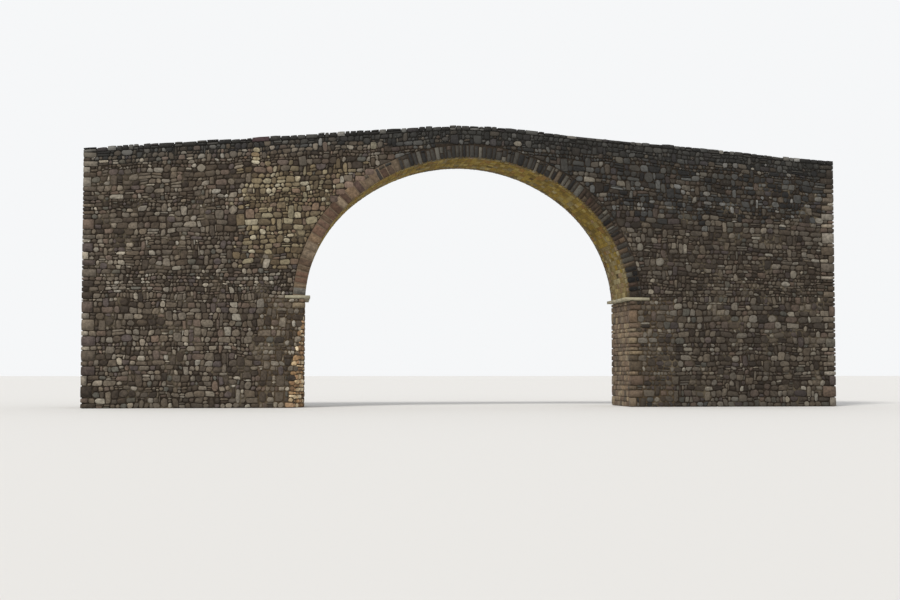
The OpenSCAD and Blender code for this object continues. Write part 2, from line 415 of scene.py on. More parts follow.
def lay(rnd, node, place, outline, colour, weather, cut):
    """Puts one stone on the list, if what is left of its outline is worth a stone."""
    if len(outline) < 3 or area(outline) < 0.0022 or thin(outline) < 0.03:
        return
    shape = knock_corners(rnd, outline, cut.corner, cut.double, cut.round_share)
    if rnd.random() < cut.loose:
        mid_u, mid_w = middle_of(shape)
        wide, tall = 1 - rnd.uniform(0.0, 0.17), 1 - rnd.uniform(0.0, 0.17)
        shape = [(mid_u + (u - mid_u) * wide, mid_w + (w - mid_w) * tall) for u, w in shape]
    outlines[node, place, len(shape)].append((
        shape, cut.edge + rnd.uniform(-0.003, 0.004), rnd.uniform(0.0, 2 * cut.proud), cut.bevel,
        cut.back, cut.tilt * rnd.uniform(-1, 1), cut.tilt * rnd.uniform(-1, 1), *colour, weather,
        rnd.random(),
    ))


def block(rnd, node, place, low, high, colour, weather, rounding=0.014, rough=0.008):
    """Puts one whole block on the list, between two corners in its place's coordinates."""
    blocks[node, place].append((*low, *high, rounding, rough, *colour, weather, rnd.random()))


def split_round(outline, box, gap):
    """The parts of an outline left, right, above and below of a box that lies in its way."""
    x0, z0, x1, z1 = box[0] - gap, box[1] - gap, box[2] + gap, box[3] + gap
    us, ws = zip(*outline)
    if max(us) < x0 or min(us) > x1 or max(ws) < z0 or min(ws) > z1:
        return [outline]
    middle = clip(clip(outline, x0, 0, 1, 0), x1, 0, -1, 0)
    parts = (
        clip(outline, x0, 0, -1, 0), clip(outline, x1, 0, 1, 0),
        clip(middle, 0, z1, 0, 1), clip(middle, 0, z0, 0, -1),
    )
    return [part for part in parts if len(part) > 2 and area(part) > 0.003]


def run_of_widths(rnd, length, height, run):
    """Widths of the stones of one course, which fill its length."""
    widths = []
    total = 0
    while total < length:
        width = height * math.exp(rnd.gauss(run.shape, run.spread))
        widths.append(min(max(width, run.least), run.most))
        total += widths[-1]
    if len(widths) > 1 and total - length > widths[-1] * 0.5:
        total -= widths.pop()
    return [width * length / total for width in widths]


def leaning_run(rnd, start, stop, height, run):
    """The stones of a course, one by one: where each starts and stops, and how its ends lean."""
    at, lean = start, 0.0
    widths = run_of_widths(rnd, stop - start, height, run)
    for i, width in enumerate(widths):
        next_lean = rnd.uniform(-run.lean, run.lean) if i < len(widths) - 1 else 0.0
        yield at, at + width, lean, next_lean
        at, lean = at + width, next_lean


def leaning_cell(stone, lows, highs, gap, outer=(False, False)):
    """Outline of a stone with leaning ends between two lines, less the joints round it."""
    a, b, lean, next_lean = stone
    half = gap / 2
    before, behind = (0.0 if end else half for end in outer)
    return [
        (a - lean + before, lows[0] + half), (b - next_lean - behind, lows[1] + half),
        (b + next_lean - behind, highs[1] - half), (a + lean + before, highs[0] - half),
    ]


def to_joint(at, width, joints, slack):
    """The width of a stone, which stops at a fixed joint if it comes close to it."""
    for joint in joints:
        if at < joint - CLOSE and at + width > joint - slack:
            return joint - at
    return width


def drawn_in(start, stop, gap, low, high):
    """Both ends of a stone, less a gap except at the ends of the whole."""
    start = start + gap if start > low + CLOSE else start
    return start, stop - gap if stop < high - CLOSE else stop


def course_levels(rnd, low, high, mean):
    """Course lines of uneven height from low up to high, which is not among them."""
    heights = [rnd.uniform(0.68, 1.34) for _ in range(max(1, round((high - low) / mean)))]
    scale = (high - low) / sum(heights)
    levels = []
    level = low
    for height in heights:
        levels.append(level)
        level += height * scale
    return levels


# Course lines, shared by the two faces, the ends and the jambs
level_rnd = random.Random(11)
LEVELS = (
    course_levels(level_rnd, 0, IMPOST_BED, 0.172)
    + [IMPOST_BED]
    + course_levels(level_rnd, SPRINGING, BED, 0.168)
    + course_levels(level_rnd, BED, COPING, 0.153)
    + [COPING]
)
COURSES = len(LEVELS) - 1
WAVES = [
    [
        [(level_rnd.uniform(low, high), level_rnd.uniform(0, TURN))
         for low, high in ((1.3, 2.6), (3.0, 5.5))]
        for _ in LEVELS
    ]
    for _ in FACES
]


# How far course lines swing up and down, and where they leave the lines of the impost
LINE_SWINGS = (0.008, 0.017)
BEYOND_IMPOST = (6.6, 7.6)


def course_line(face, k, x):
    """Height of the line under course k on the front (0) or rear (1) face."""
    level = LEVELS[k]
    lean = min(max((level - SPRINGING) / (BED - SPRINGING), 0), 1)
    swing = 0.0 if k in (0, COURSES) else LINE_SWINGS[k % 2]
    if min(abs(level - IMPOST_BED), abs(level - SPRINGING)) < CLOSE:
        # Beyond the impost its two straight lines come nearer to the others
        free = ramp01(*BEYOND_IMPOST, abs(x))
        swing *= free
        level += free * (0.035 if level > IMPOST_BED + CLOSE else -0.045)
    wave = sum(math.sin(2 * math.pi * x / length + turn) for length, turn in WAVES[face][k])
    return level + swing * wave - lean * fall_at(x)


def push_waves(seed, size=0.016):
    """Waves of a smooth push in two directions, so that no joint in a wall is straight."""
    rnd = random.Random(seed)
    waves = []
    for _ in range(6):
        pace, angle = TURN / rnd.uniform(0.55, 1.5), rnd.uniform(0, TURN)
        waves.append((
            pace * math.cos(angle), pace * math.sin(angle), rnd.uniform(0, TURN),
            size * rnd.uniform(-1, 1), size * rnd.uniform(-1, 1),
        ))
    return waves


PUSH_WAVES = (push_waves(13), push_waves(17))


def pushed(face, outline):
    """An outline on a face after the push, which fades out towards the edges of the face."""
    out = []
    for x, z in outline:
        dx = dz = 0.0
        for along, up, turn, push_x, push_z in PUSH_WAVES[face]:
            swing = math.sin(along * x + up * z + turn)
            dx += push_x * swing
            dz += push_z * swing
        free = ramp01(0.0, 0.5, HALF_LENGTH - 0.55 - abs(x)) * ramp01(0.0, 0.4, z)
        free *= ramp01(0.0, 0.35, COPING - (z + fall_at(x)))
        free *= ramp01(0.0, 0.5, max(abs(x) - 6.4, z - 4.0))
        out.append((x + dx * free, z + dz * free))
    return out


def arch_gap(x, z):
    """Distance outside the back of the ring, and the foot and direction of the nearest point."""
    side = 1 if x >= 0 else -1
    centre_x, centre_z, radius = 0.0, CROWN_Z, CROWN_RADIUS
    if math.atan2(z - CROWN_Z, abs(x)) < HAUNCH_JOINT:
        centre_x, centre_z, radius = HAUNCH_X, HAUNCH_Z, HAUNCH_RADIUS
    dx, dz = abs(x) - centre_x, z - centre_z
    far = math.hypot(dx, dz)
    nx, nz = dx / far, dz / far
    reach = radius + RING_HEIGHT + 0.010
    return far - reach, side * (centre_x + nx * reach), centre_z + nz * reach, side * nx, nz


def back_of_ring_x(z):
    """Where the back of the ring stands at a height."""
    radius = CROWN_RADIUS + RING_HEIGHT
    if z - CROWN_Z < radius * math.sin(HAUNCH_JOINT):
        radius = HAUNCH_RADIUS + RING_HEIGHT
        return HAUNCH_X + math.sqrt(max(radius ** 2 - (z - HAUNCH_Z) ** 2, 0))
    return math.sqrt(max(radius ** 2 - (z - CROWN_Z) ** 2, 0))


# Stones of the front face that stand out in it: x and z of two corners, palette, gain
STAND_OUT = [
    (-3.42, 8.84, -3.20, 9.06, "pale", 0.40),
    (-7.42, 8.20, -7.17, 8.34, "warm", 1.45),
    (-7.40, 8.36, -7.16, 8.49, "warm", 1.25),
    (-7.44, 8.51, -7.18, 8.66, "warm", 1.5),
    (-7.39, 8.68, -7.17, 8.80, "warm", 1.3),
    (-4.78, 6.98, -4.50, 7.20, "pinkish", 1.15),
    (-4.62, 7.23, -4.28, 7.42, "pinkish", 1.0),
    (-4.30, 7.45, -3.98, 7.66, "pinkish", 1.2),
    (-3.94, 7.70, -3.60, 7.88, "pinkish", 1.05),
    (-3.62, 7.92, -3.30, 8.12, "pinkish", 1.15),
    (-6.10, 7.28, -5.82, 7.45, "warm", 1.3),
    (-6.60, 6.72, -6.28, 6.90, "warm", 1.25),
    (1.55, 9.02, 1.80, 9.19, "ring_grey", 1.5),
    (-0.95, 9.12, -0.74, 9.28, "ring_grey", 1.3),
]

# Where the warm stones of each face start, are at full share, get fewer and are gone
WARM_X = ((-8.3, -7.2, -4.6, -3.4), (3.2, 4.6, 7.4, 8.6))
WARM_Z = (4.4, 5.6, 7.6, 8.6)

# Stretches over which the looks change: from no share of something to all of it
REAR_WARM_END = (7.2, 8.4)
TOP_CRUST = (9.12, 9.55)
UPPER_CRUST = (8.1, 9.1)
DRY_FOOT = (0.0, 0.7)
# Stretches of the darkening of the front's right half, partly crust and partly painted shade
RIGHT_CRUST_AND_SHADE = (0.2, 3.6)
RIGHT_CRUST_AND_SHADE_END = (7.0, 10.0)
CROWN_CRUST = (8.3, 8.9)
CROWN_CRUST_X, CROWN_CRUST_SPREAD = 0.6, 2.6
# Stretches of painted shade, partly darker stone as well
REAR_SHADE = (-2, -8)
MIDDLE_SHADE = (-3.5, -2.3)
RIGHT_SHADE = (0.5, 4.0)
UPPER_WALL = (5.5, 7.0)
GREY_X, GREY_Z = (-3.0, -1.0), (6.0, 7.2)
BARED_LOSS = (0.28, 0.72)
LARGE_LEFT, LARGE_REAR = (-2.0, -2.8), (2.6, 3.4)
RED_LEFT, RED_REAR = (-1.8, -2.8), (1.6, 3.2)
FAR_RIGHT = (2.8, 4.0)
# The ring's crust high up, and its darkening towards the right, which is partly painted shade
RING_CRUST, RING_CRUST_AND_SHADE_X = (7.6, 8.5), (1, 4)
RING_SHADE = (7.6, 8.4)
BUFF_END = (4.5, 6.1)

# Other limits of the looks
BARED_REACH = 0.14
BARED_END = -6.6
BROKEN_LEAST = 0.12


def face_look(face, x, z):
    """Share of warm stones and weathering at a place on a face; on the front's right half the
    weathering is partly painted shade.
    """
    v = z + fall_at(x)
    weather = 0.10 + 0.62 * ramp01(*TOP_CRUST, v) + 0.28 * ramp01(*UPPER_CRUST, v)
    weather += 0.25 * (1 - ramp01(*DRY_FOOT, z))
    warm = plateau(x, *WARM_X[face])
    if face:
        warm *= 1 - ramp01(*REAR_WARM_END, z)
        return warm * 0.7, min(weather + 0.10 * ramp01(*REAR_SHADE, x), 1.0)
    # Dark crust over the crown, and a darkening of the right half that is partly crust and partly
    # painted shade
    weather += 0.26 * ramp01(*RIGHT_CRUST_AND_SHADE, x) * (1 - 0.5 * ramp01(*RIGHT_CRUST_AND_SHADE_END, x))
    near_crown = math.exp(-((x - CROWN_CRUST_X) / CROWN_CRUST_SPREAD) ** 2)
    weather += 0.18 * near_crown * ramp01(*CROWN_CRUST, z)
    return warm * plateau(z, *WARM_Z), min(weather, 1.0)


def shade(face, x, z):
    """Lightness of the stones of a face: less over the crown, in the front's right half and towards
    the rear's left end; this darkening is partly darker stone and partly painted shade.
    """
    if face:
        return 1.0 - 0.10 * ramp01(*REAR_SHADE, x)
    upper = ramp01(*UPPER_WALL, z)
    middle = 0.32 * ramp01(*MIDDLE_SHADE, x) * upper
    right = 0.32 * ramp01(*RIGHT_SHADE, x)
    return (1.0 - middle) * (1.0 - right * (1 - 0.4 * upper))


def bared_share(x, z):
    """Share of pale core stones in the front face, left of the broken corner; their paleness is
    partly painted sunlight.
    """
    reach = WORN_LENGTH * worn_share(z) + BARED_REACH * ramp01(*BARED_LOSS, worn_share(z))
    return 0.9 * ramp01(-HALF_SPAN - reach - 0.12, -HALF_SPAN - reach + 0.04, x)


def is_broken(side, k):
    """Whether course k is among those that the broken corner goes through."""
    return side < 0 and worn_share(LEVELS[k]) > BROKEN_LEAST


def face_node(face, x, z):
    """The node of a stone at a place on a face."""
    name = FACES[face] + "_" + side_of(x)
    if z + fall_at(x) >= BED:
        return name + "_parapet"
    if abs(x) > ABUTMENT_END:
        return name + "_wing_wall"
    return name + "_spandrel" if z > SPRINGING - 0.02 else side_of(x) + "_abutment"


def quoin_runs(rnd, top):
    """For each course under top, the corner block it is in: reach both ways, and its courses."""
    runs = []
    k = 0
    turn = rnd.random() < 0.5
    while k < COURSES and LEVELS[k + 1] <= top + CLOSE:
        room = k + 2 <= COURSES and LEVELS[k + 2] <= top + CLOSE
        room = room and abs(LEVELS[k + 1] - BED) > CLOSE
        tall = 2 if room and rnd.random() < 0.45 else 1
        reach = (rnd.uniform(0.36, 0.52), rnd.uniform(0.22, 0.30))
        runs += [(reach[::-1] if turn else reach, k, k + tall)] * tall
        k += tall
        turn = not turn
    return runs


corner_rnd = random.Random(23)
END_QUOINS, JAMB_QUOINS = (
    {(side, face): quoin_runs(corner_rnd, top) for side in SIDES for face in (0, 1)}
    for top in (COPING, IMPOST_BED)
)


def face_start(rnd, face, side, k):
    """How far from the middle the rubble of course k starts on one side of a face."""
    low, high = LEVELS[k], LEVELS[k + 1]
    if high <= IMPOST_BED + CLOSE:
        if face == 0 and is_broken(side, k):
            corner = HALF_SPAN + WORN_LENGTH * worn_share((low + high) / 2)
            return corner + rnd.uniform(-0.01, 0.05)
        return HALF_SPAN + JAMB_QUOINS[side, face][k][0][0]
    if high <= SPRINGING + CLOSE:
        return HALF_SPAN + IMPOST_TAIL + 0.008
    z = high - 0.5 * (high - SPRINGING) / (BED - SPRINGING) * 0.4
    return max(back_of_ring_x(min(z, 9.0)) - 0.22, 0.0) if z < 9.02 else 0.0


def face_runs(rnd, face, k):
    """From where to where the rubble of course k runs, beside the arch or over it."""
    starts = [face_start(rnd, face, side, k) for side in SIDES]
    left, right = (HALF_LENGTH - END_QUOINS[side, face][k][0][0] for side in SIDES)
    if starts[0] < 0.5:
        return [(-left, right)]
    return [(-left, -starts[0]), (starts[1], right)]


def top_line(face, k, rise, x):
    """Height of the top of a stone of course k that takes up a share of the next course."""
    line = course_line(face, k + 1, x)
    return line * (1 - rise) + course_line(face, k + 2, x) * rise if rise else line


def in_the_way(box, others):
    return any(
        box[0] < q[2] and q[0] < box[2] and box[1] < q[3] and q[1] < box[3] for q in others
    )


def tall_share(rnd, face, k, stone, fixed):
    """How much of the next course a stone of course k takes up as well, and its box there."""
    a, b, lean, next_lean = stone
    near_impost = abs(a) < 7.1 and LEVELS[k] < SPRINGING < LEVELS[k + 1] + 0.5
    may_rise = k + 2 <= COURSES and 0.12 < b - a < 0.34 and not near_impost
    if not may_rise or rnd.random() >= 0.13:
        return 0.0, None
    rise = 1.0 if rnd.random() < 0.6 else rnd.uniform(0.40, 0.6)
    x0, x1 = a - abs(lean), b + abs(next_lean)
    z0 = course_line(face, k + 1, a) - 0.02
    z1 = max(top_line(face, k, rise, x) for x in (a + lean, b + next_lean))
    if in_the_way((x0, z0, x1, z1), fixed):
        return 0.0, None
    return rise, (x0 + FACE_GAP / 2, z0, x1 - FACE_GAP / 2, z1 - FACE_GAP / 2)


def halves(rnd, cell, gap=0.006):
    """Two low stones, one upon the other, in place of one."""
    t = rnd.uniform(0.38, 0.62)
    (x0, z0), (x1, z1) = (between(cell[j], cell[3 - j], t) for j in (0, 1))
    return [
        [cell[0], cell[1], (x1, z1 - gap), (x0, z0 - gap)],
        [(x0, z0 + gap), (x1, z1 + gap), cell[2], cell[3]],
    ]


def lay_rubble(rnd, bared_rnd, face, outline):
    """One stone of a face, cut off along the ring where it meets it."""
    outline = pushed(face, outline)
    x, z = middle_of(outline)
    if z > SPRINGING - 0.05:
        away, *ring_back = arch_gap(x, z)
        if away < -0.3:
            return
        if away < 0.35:
            outline = clip(outline, *ring_back)
    warm, weather = face_look(face, x, z)
    palette, gain = ("warm" if rnd.random() < warm else "grey_brown"), 1.0
    if weather > 0.5 and rnd.random() < (weather - 0.4) * 1.5:
        palette = "dark"
    grey = 0.65 * ramp01(*GREY_X, x) * ramp01(*GREY_Z, z)
    if face == 0 and palette != "dark" and rnd.random() < grey:
        palette, gain = "dark", 1.4
    # The lightness of a stone takes the painted shade of its place on the face
    gain *= (1 + 0.06 * warm) * shade(face, x, z)
    cut = SUNK_CUT if rnd.random() < 0.06 else FACE_CUT
    colour = tint(rnd, palette, gain)
    weather = weathered(rnd, weather, 0.13)
    by_corner = face == 0 and BARED_END < x < -HALF_SPAN and z < IMPOST_BED
    # Pale core stones by the broken corner, partly painted sunlight
    if by_corner and bared_rnd.random() < bared_share(x, z):
        colour, weather = tint(bared_rnd, "core", 0.95), 0.05
    lay(rnd, face_node(face, x, z), FACES[face], outline, colour, weather, cut)


def lay_stand_out(rnd, x0, z0, x1, z1, palette, gain):
    """A stone of the front face with its own place and colour."""
    outline = pushed(0, [(x0, z0), (x1, z0), (x1, z1), (x0, z1)])
    x, z = (x0 + x1) / 2, (z0 + z1) / 2
    colour, weather = tint(rnd, palette, gain), face_look(0, x, z)[1] * 0.5
    lay(rnd, face_node(0, x, z), "front", outline, colour, weather, STAND_OUT_CUT)


def face_cell(face, k, stone, rise):
    """Outline of a stone of course k between the lines under and over it."""
    a, b, lean, next_lean = stone
    foots = [course_line(face, k, x) for x in (a - lean, b - next_lean)]
    tops = [top_line(face, k, rise, x) for x in (a + lean, b + next_lean)]
    return leaning_cell(stone, foots, tops, FACE_GAP)


def lay_course(rnd, bared_rnd, face, k, taken):
    """Course k of a face, laid round what is taken; gives back the boxes of its tall stones."""
    height = LEVELS[k + 1] - LEVELS[k]
    fixed = [] if face else [row[:4] for row in STAND_OUT]
    risen = []
    for start, stop in face_runs(rnd, face, k):
        for stone in leaning_run(rnd, start, stop, height, FACE_RUN):
            a, b = stone[:2]
            rise = 0.0
            if start < a and b < stop - CLOSE:
                rise, box = tall_share(rnd, face, k, stone, fixed)
            if rise:
                risen.append(box)
            parts = [face_cell(face, k, stone, rise)]
            for box in taken + fixed:
                if box[0] - 0.6 < a < box[2] + 0.1:
                    parts = [q for p in parts for q in split_round(p, box, FACE_GAP * 0.6)]
            whole = len(parts) == 1 and len(parts[0]) == 4 and not rise
            if whole and height > 0.15 and rnd.random() < 0.12:
                parts = halves(rnd, parts[0])
            for part in parts:
                lay_rubble(rnd, bared_rnd, face, part)
    return risen


def lay_face(face):
    """Rubble in uneven courses, with some tall stones and some pairs of low ones."""
    rnd = random.Random(31 + face)
    bared_rnd = random.Random(83)
    risen = []
    for k in range(COURSES):
        risen = lay_course(rnd, bared_rnd, face, k, risen)
    if face == 0:
        for row in STAND_OUT:
            lay_stand_out(rnd, *row)


def between_quoins(quoins, side, k):
    """From where to where course k runs between the corner blocks of the front and the rear."""
    front, rear = (quoins[side, face][k][0][1] for face in (0, 1))
    return -HALF_WIDTH + front, HALF_WIDTH - rear


def cross_cell(k, x, stone, most=TOP):
    """Outline of a stone of course k in an end or a jamb, its lines running from face to face."""
    lines = []
    for j in (k, k + 1):
        front, rear = (min(course_line(face, j, x), most) for face in (0, 1))
        shares = [(y + HALF_WIDTH) / (2 * HALF_WIDTH) for y in stone[:2]]
        lines.append([front * (1 - t) + rear * t for t in shares])
    return leaning_cell(stone, *lines, SIDE_GAP)


def lay_ends():
    """Rubble up to the bed of the road, in the courses of the faces."""
    rnd = random.Random(41)
    for side, name in SIDES.items():
        x = side * HALF_LENGTH
        for k in range(COURSES):
            if LEVELS[k] > BED - CLOSE:
                break
            start, stop = between_quoins(END_QUOINS, side, k)
            weather = 0.14 + 0.3 * ramp01(6.8, 8.0, LEVELS[k] - 1.0)
            weather += 0.25 * (1 - ramp01(*DRY_FOOT, LEVELS[k]))
            for stone in leaning_run(rnd, start, stop, LEVELS[k + 1] - LEVELS[k], END_RUN):
                mid_y = (stone[0] + stone[1]) / 2
                node = name + "_end_wall"
                if abs(mid_y) > CORE_HALF:
                    node = FACES[mid_y > 0] + "_" + name + "_wing_wall"
                palette = "warm" if rnd.random() < 0.25 else "grey_brown"
                cell = cross_cell(k, x, stone, BED - fall_at(x) - 0.002)
                lay(rnd, node, name + "_end", cell, tint(rnd, palette),
                    weathered(rnd, weather, 0.12), END_CUT)


def lay_corner(rnd, side, face, at_jamb, runs):
    """The blocks of one corner, one above another."""
    corner_x, inward = (side * HALF_SPAN, side) if at_jamb else (side * HALF_LENGTH, -side)
    palette, gain = ("jamb", 0.88) if at_jamb else ("grey_brown", 1.0)
    half = CORNER_GAP / 2
    for (reach_x, reach_y), k0, k1 in dict.fromkeys(runs):
        if at_jamb and face == 0 and is_broken(side, k0):
            continue
        over_bed = LEVELS[k0] > BED - CLOSE
        if over_bed:
            # Here the corner belongs to the end of the parapet
            reach_y = HALF_WIDTH - ROAD_HALF
        x = corner_x + inward * reach_x / 2
        z0 = course_line(face, k0, x) + half
        z1 = course_line(face, k1, x) - half
        node = face_node(face, x, (z0 + z1) / 2)
        if not at_jamb:
            z0 = min(z0, course_line(face, k0, corner_x) + half)
            z1 = min(z1, course_line(face, k1, corner_x) - half + 0.02)
            z1 = min(z1, (COPING if over_bed else BED) - fall_at(corner_x) + 0.01)
        x0, x1 = sorted((corner_x, corner_x + inward * (reach_x - CORNER_GAP)))
        y0, y1 = sorted((OUT[face] * HALF_WIDTH, OUT[face] * (HALF_WIDTH - reach_y + CORNER_GAP)))
        weather = face_look(face, x, (z0 + z1) / 2)[1] * 0.8
        block(rnd, node, "solid", (x0, y0, z0), (x1, y1, z1), tint(rnd, palette, gain), weather,
              0.016, 0.007)


def lay_corners():
    """The corner blocks of the ends, then those of the jambs."""
    rnd = random.Random(43)
    for at_jamb, quoins in ((False, END_QUOINS), (True, JAMB_QUOINS)):
        for (side, face), runs in quoins.items():
            lay_corner(rnd, side, face, at_jamb, runs)


def lay_jambs():
    """The faces of the abutments under the arch."""
    rnd = random.Random(47)
    for side, name in SIDES.items():
        for k in range(COURSES):
            if LEVELS[k + 1] > IMPOST_BED + CLOSE:
                break
            start, stop = between_quoins(JAMB_QUOINS, side, k)
            mid = (LEVELS[k] + LEVELS[k + 1]) / 2
            if is_broken(side, k):
                start = -HALF_WIDTH + WORN_DEPTH * worn_share(mid) + rnd.uniform(-0.02, 0.10)
            weather = 0.06 + 0.22 * (1 - ramp01(0.0, 0.6, mid))
            for stone in leaning_run(rnd, start, stop, LEVELS[k + 1] - LEVELS[k], JAMB_RUN):
                cell = cross_cell(k, side * HALF_SPAN, stone)
                lay(rnd, name + "_abutment", name + "_jamb", cell, tint(rnd, "jamb", 0.95),
                    weathered(rnd, weather, 0.06), JAMB_CUT)


def lay_worn_corner():
    """The broken corner of the left abutment: bare core stones, one above another, pale partly with
    painted sunlight.
    """
    rnd = random.Random(53)
    z0 = 0.0
    while z0 < IMPOST_BED - 0.45:
        tall = rnd.uniform(0.085, 0.20)
        z1 = z0 + tall
        slant = WORN_SLANT * worn_share((z0 + z1) / 2)
        at = 0.0
        for width in run_of_widths(rnd, slant, tall, WORN_RUN):
            a, b = at + 0.007, at + width - 0.007
            at += width
            lows = [z0 + rnd.uniform(0.0, 0.022) for _ in range(2)]
            highs = [z1 - rnd.uniform(0.0, 0.026) for _ in range(2)]
            cell = [(a, lows[0]), (b, lows[1]), (b, highs[0]), (a, highs[1])]
            shape = [(u / slant, w) for u, w in knock_corners(rnd, cell, 0.040, 0.7)]
            deep = rnd.uniform(0.0, 0.030) + (rnd.uniform(0.02, 0.05) if rnd.random() < 0.35 else 0)
            outlines["left_abutment", "worn", len(shape)].append((
                shape, deep + 0.030, deep, 0.016 / slant, 0.14, rnd.uniform(-4, 4),
                rnd.uniform(-4, 4), *tint(rnd, "core", 1.05), rnd.uniform(0, 0.12), rnd.random(),
            ))
        z0 = z1


def limed_share(x):
    """Share of large stones and of lime in the joints of the front ring: all low on the left."""
    return ramp01(*LARGE_LEFT, x)


def ring_look(rnd, face, x, z, large):
    """Palette, weathering and lightness of a ring stone: many are reddish low on the sides; high up
    and towards the front's right end they are darker, partly with crust and partly with painted
    shade.
    """
    red = 0.4 * ramp01(*RED_REAR, x) if face else 0.94 * ramp01(*RED_LEFT, x)
    far_right = 0.0 if face else 0.55 * ramp01(*FAR_RIGHT, x)
    palette = "ring_warm" if rnd.random() < max(red, far_right) else "ring_grey"
    # Crust grows with height; its growth towards the right is partly painted shade
    crust = 0.42 * ramp01(*RING_CRUST, z) + 0.2 * ramp01(*RING_CRUST_AND_SHADE_X, x)
    weather = 0.10 + crust * (1 - red)
    # Lightness falls with the painted shade of the face, high up and most at the front's far right
    level = shade(face, x, z) * (1.0 - 0.10 * ramp01(*RING_SHADE, z)) * (1 - 0.6 * far_right)
    if large > 0.5:
        level *= math.exp(rnd.gauss(-0.12, 0.20))
    return palette, weather, level


def ring_spans(rnd, large, length):
    """How far a ring stone reaches outside the soffit, or each of its two parts if it is split."""
    chance = rnd.random()
    if chance < 0.12 * (1 - large):
        cut = rnd.uniform(0.36, 0.60) * length
        return [(0.0, cut - 0.004), (cut + 0.004, length)]
    if chance < 0.45 * (1 - 0.7 * large):
        cut = rnd.uniform(0.66, 0.82) * RING_HEIGHT
        return [(0.0, cut - 0.006), (cut + 0.006, RING_HEIGHT - rnd.uniform(0, 0.02))]
    return [(0.0, length)]


def lay_ring(rnd, face):
    """Thin slabs of uneven length, larger low on one side."""
    s = 0.0
    while s < ARC - CLOSE:
        here = float(along_arch(s, 0)[0])
        large = 0.5 * ramp01(*LARGE_REAR, here) if face else limed_share(here)
        width = rnd.gauss(0.142 + 0.07 * large, 0.030 + 0.024 * large)
        width = to_joint(s, min(max(width, 0.09), 0.31), ARC_JOINTS, 0.10)
        mid = s + width / 2
        x, z = (float(c) for c in along_arch(mid, 0))
        palette, weather, level = ring_look(rnd, face, x, z, large)
        start, stop = drawn_in(s, s + width, 0.0045 + 0.0035 * large, 0, ARC)
        even = 0.40 + 0.45 * large
        length = RING_HEIGHT - (0.0 if rnd.random() < even else rnd.uniform(0.01, 0.05))
        outer = HALF_WIDTH - rnd.uniform(0.0, 0.010)
        y0, y1 = sorted((OUT[face] * outer, OUT[face] * CORE_HALF))
        for r0, r1 in ring_spans(rnd, large, length):
            if r0 > 0.25:
                palette = "dark" if rnd.random() < weather * 1.3 else "grey_brown"
            block(rnd, FACES[face] + "_" + arch_part(mid) + "_ring", "ring", (start, y0, r0),
                  (stop, y1, r1), tint(rnd, palette, level), weathered(rnd, weather, 0.1))
        s += width


# Where a crack crosses the soffit, just left of the crown
CRACK_AT = ARC / 2 - 0.12


def crack_width(s):
    """The open joint between the vault and the rear ring, low on the right haunch."""
    return 0.038 * ramp01(ARC - 2.35, ARC - 1.9, s) * ramp01(ARC - 0.55, ARC - 0.95, s)


def soffit_buff(z):
    """Share of buff stones in the soffit: all of them at the springing, few over the haunches."""
    return 1 - 0.94 * ramp01(*BUFF_END, z)


def lay_vault(rnd):
    """The soffit: low courses of long stones, pointed almost flush."""
    gap = 0.0035
    s = 0.0
    while s < ARC - CLOSE:
        width = min(max(rnd.gauss(0.165, 0.028), 0.11), 0.235)
        width = to_joint(s, width, ARC_JOINTS, 0.11)
        mid = s + width / 2
        buff = soffit_buff(float(along_arch(mid, 0)[1]))
        rear = CORE_HALF - crack_width(mid)
        for a, b, lean, next_lean in leaning_run(rnd, -CORE_HALF, rear, 0.30, VAULT_RUN):
            split = 0.016 if s < CRACK_AT <= s + width and abs((a + b) / 2) < 0.75 else 0.0
            start, stop = s + gap, s + width - gap - split
            cell = [
                (start, a - lean + gap), (stop, a + lean + gap),
                (stop, b + next_lean - gap), (start, b - next_lean - gap),
            ]
            # Stones that are not buff carry painted golden light as well as their own colour
            palette = "buff" if rnd.random() < buff else "ochre_and_golden_light"
            gain = 0.35 if rnd.random() < 0.025 * (1 - buff) else 0.94
            lay(rnd, arch_part(mid) + "_vault", "arch", cell, tint(rnd, palette, gain),
                rnd.uniform(0, 0.10), VAULT_CUT)
        s += width


def lay_arch():
    rnd = random.Random(59)
    lay_ring(rnd, 0)
    lay_ring(rnd, 1)
    lay_vault(rnd)


def lay_imposts():
    rnd = random.Random(61)
    for side, name in SIDES.items():
        y = -HALF_WIDTH
        for length in run_of_widths(rnd, 2 * HALF_WIDTH, 0.62, IMPOST_RUN):
            inner = HALF_SPAN - IMPOST_REACH + rnd.uniform(0.0, 0.012)
            x0, x1 = sorted((side * inner, side * (HALF_SPAN + IMPOST_TAIL - 0.004)))
            y0, y1 = drawn_in(y, y + length, 0.004, -HALF_WIDTH, HALF_WIDTH)
            block(rnd, name + "_impost", "solid", (x0, y0, IMPOST_BED + 0.002),
                  (x1, y1, SPRINGING - 0.001), tint(rnd, "pale"), rnd.uniform(0, 0.10),
                  0.013, 0.004)
            y += length


# The uneven top of the front wall: x and level of its highest stones
TOP_LINE = [
    (-13.0, 9.68), (-10.8, 9.699), (-9.0, 9.69), (-7.8, 9.66), (-7.1, 9.699), (-6.2, 9.68),
    (-5.2, 9.672), (-5.15, 9.699), (-3.6, 9.692), (-0.8, 9.686), (-0.2, 9.699), (1.0, 9.68),
    (2.1, 9.685), (3.8, 9.64), (4.7, 9.62), (6.3, 9.665), (13.0, 9.68),
]
LONG_STONE_X = -7.43
LONG_STONE_LENGTH = 0.60
LONG_STONE_COLOUR = linear(74, 59, 60)


def is_long_stone(face, x):
    """Whether the long flat stone of the front's top course starts at x."""
    return face == 0 and abs(x - LONG_STONE_X) < CLOSE


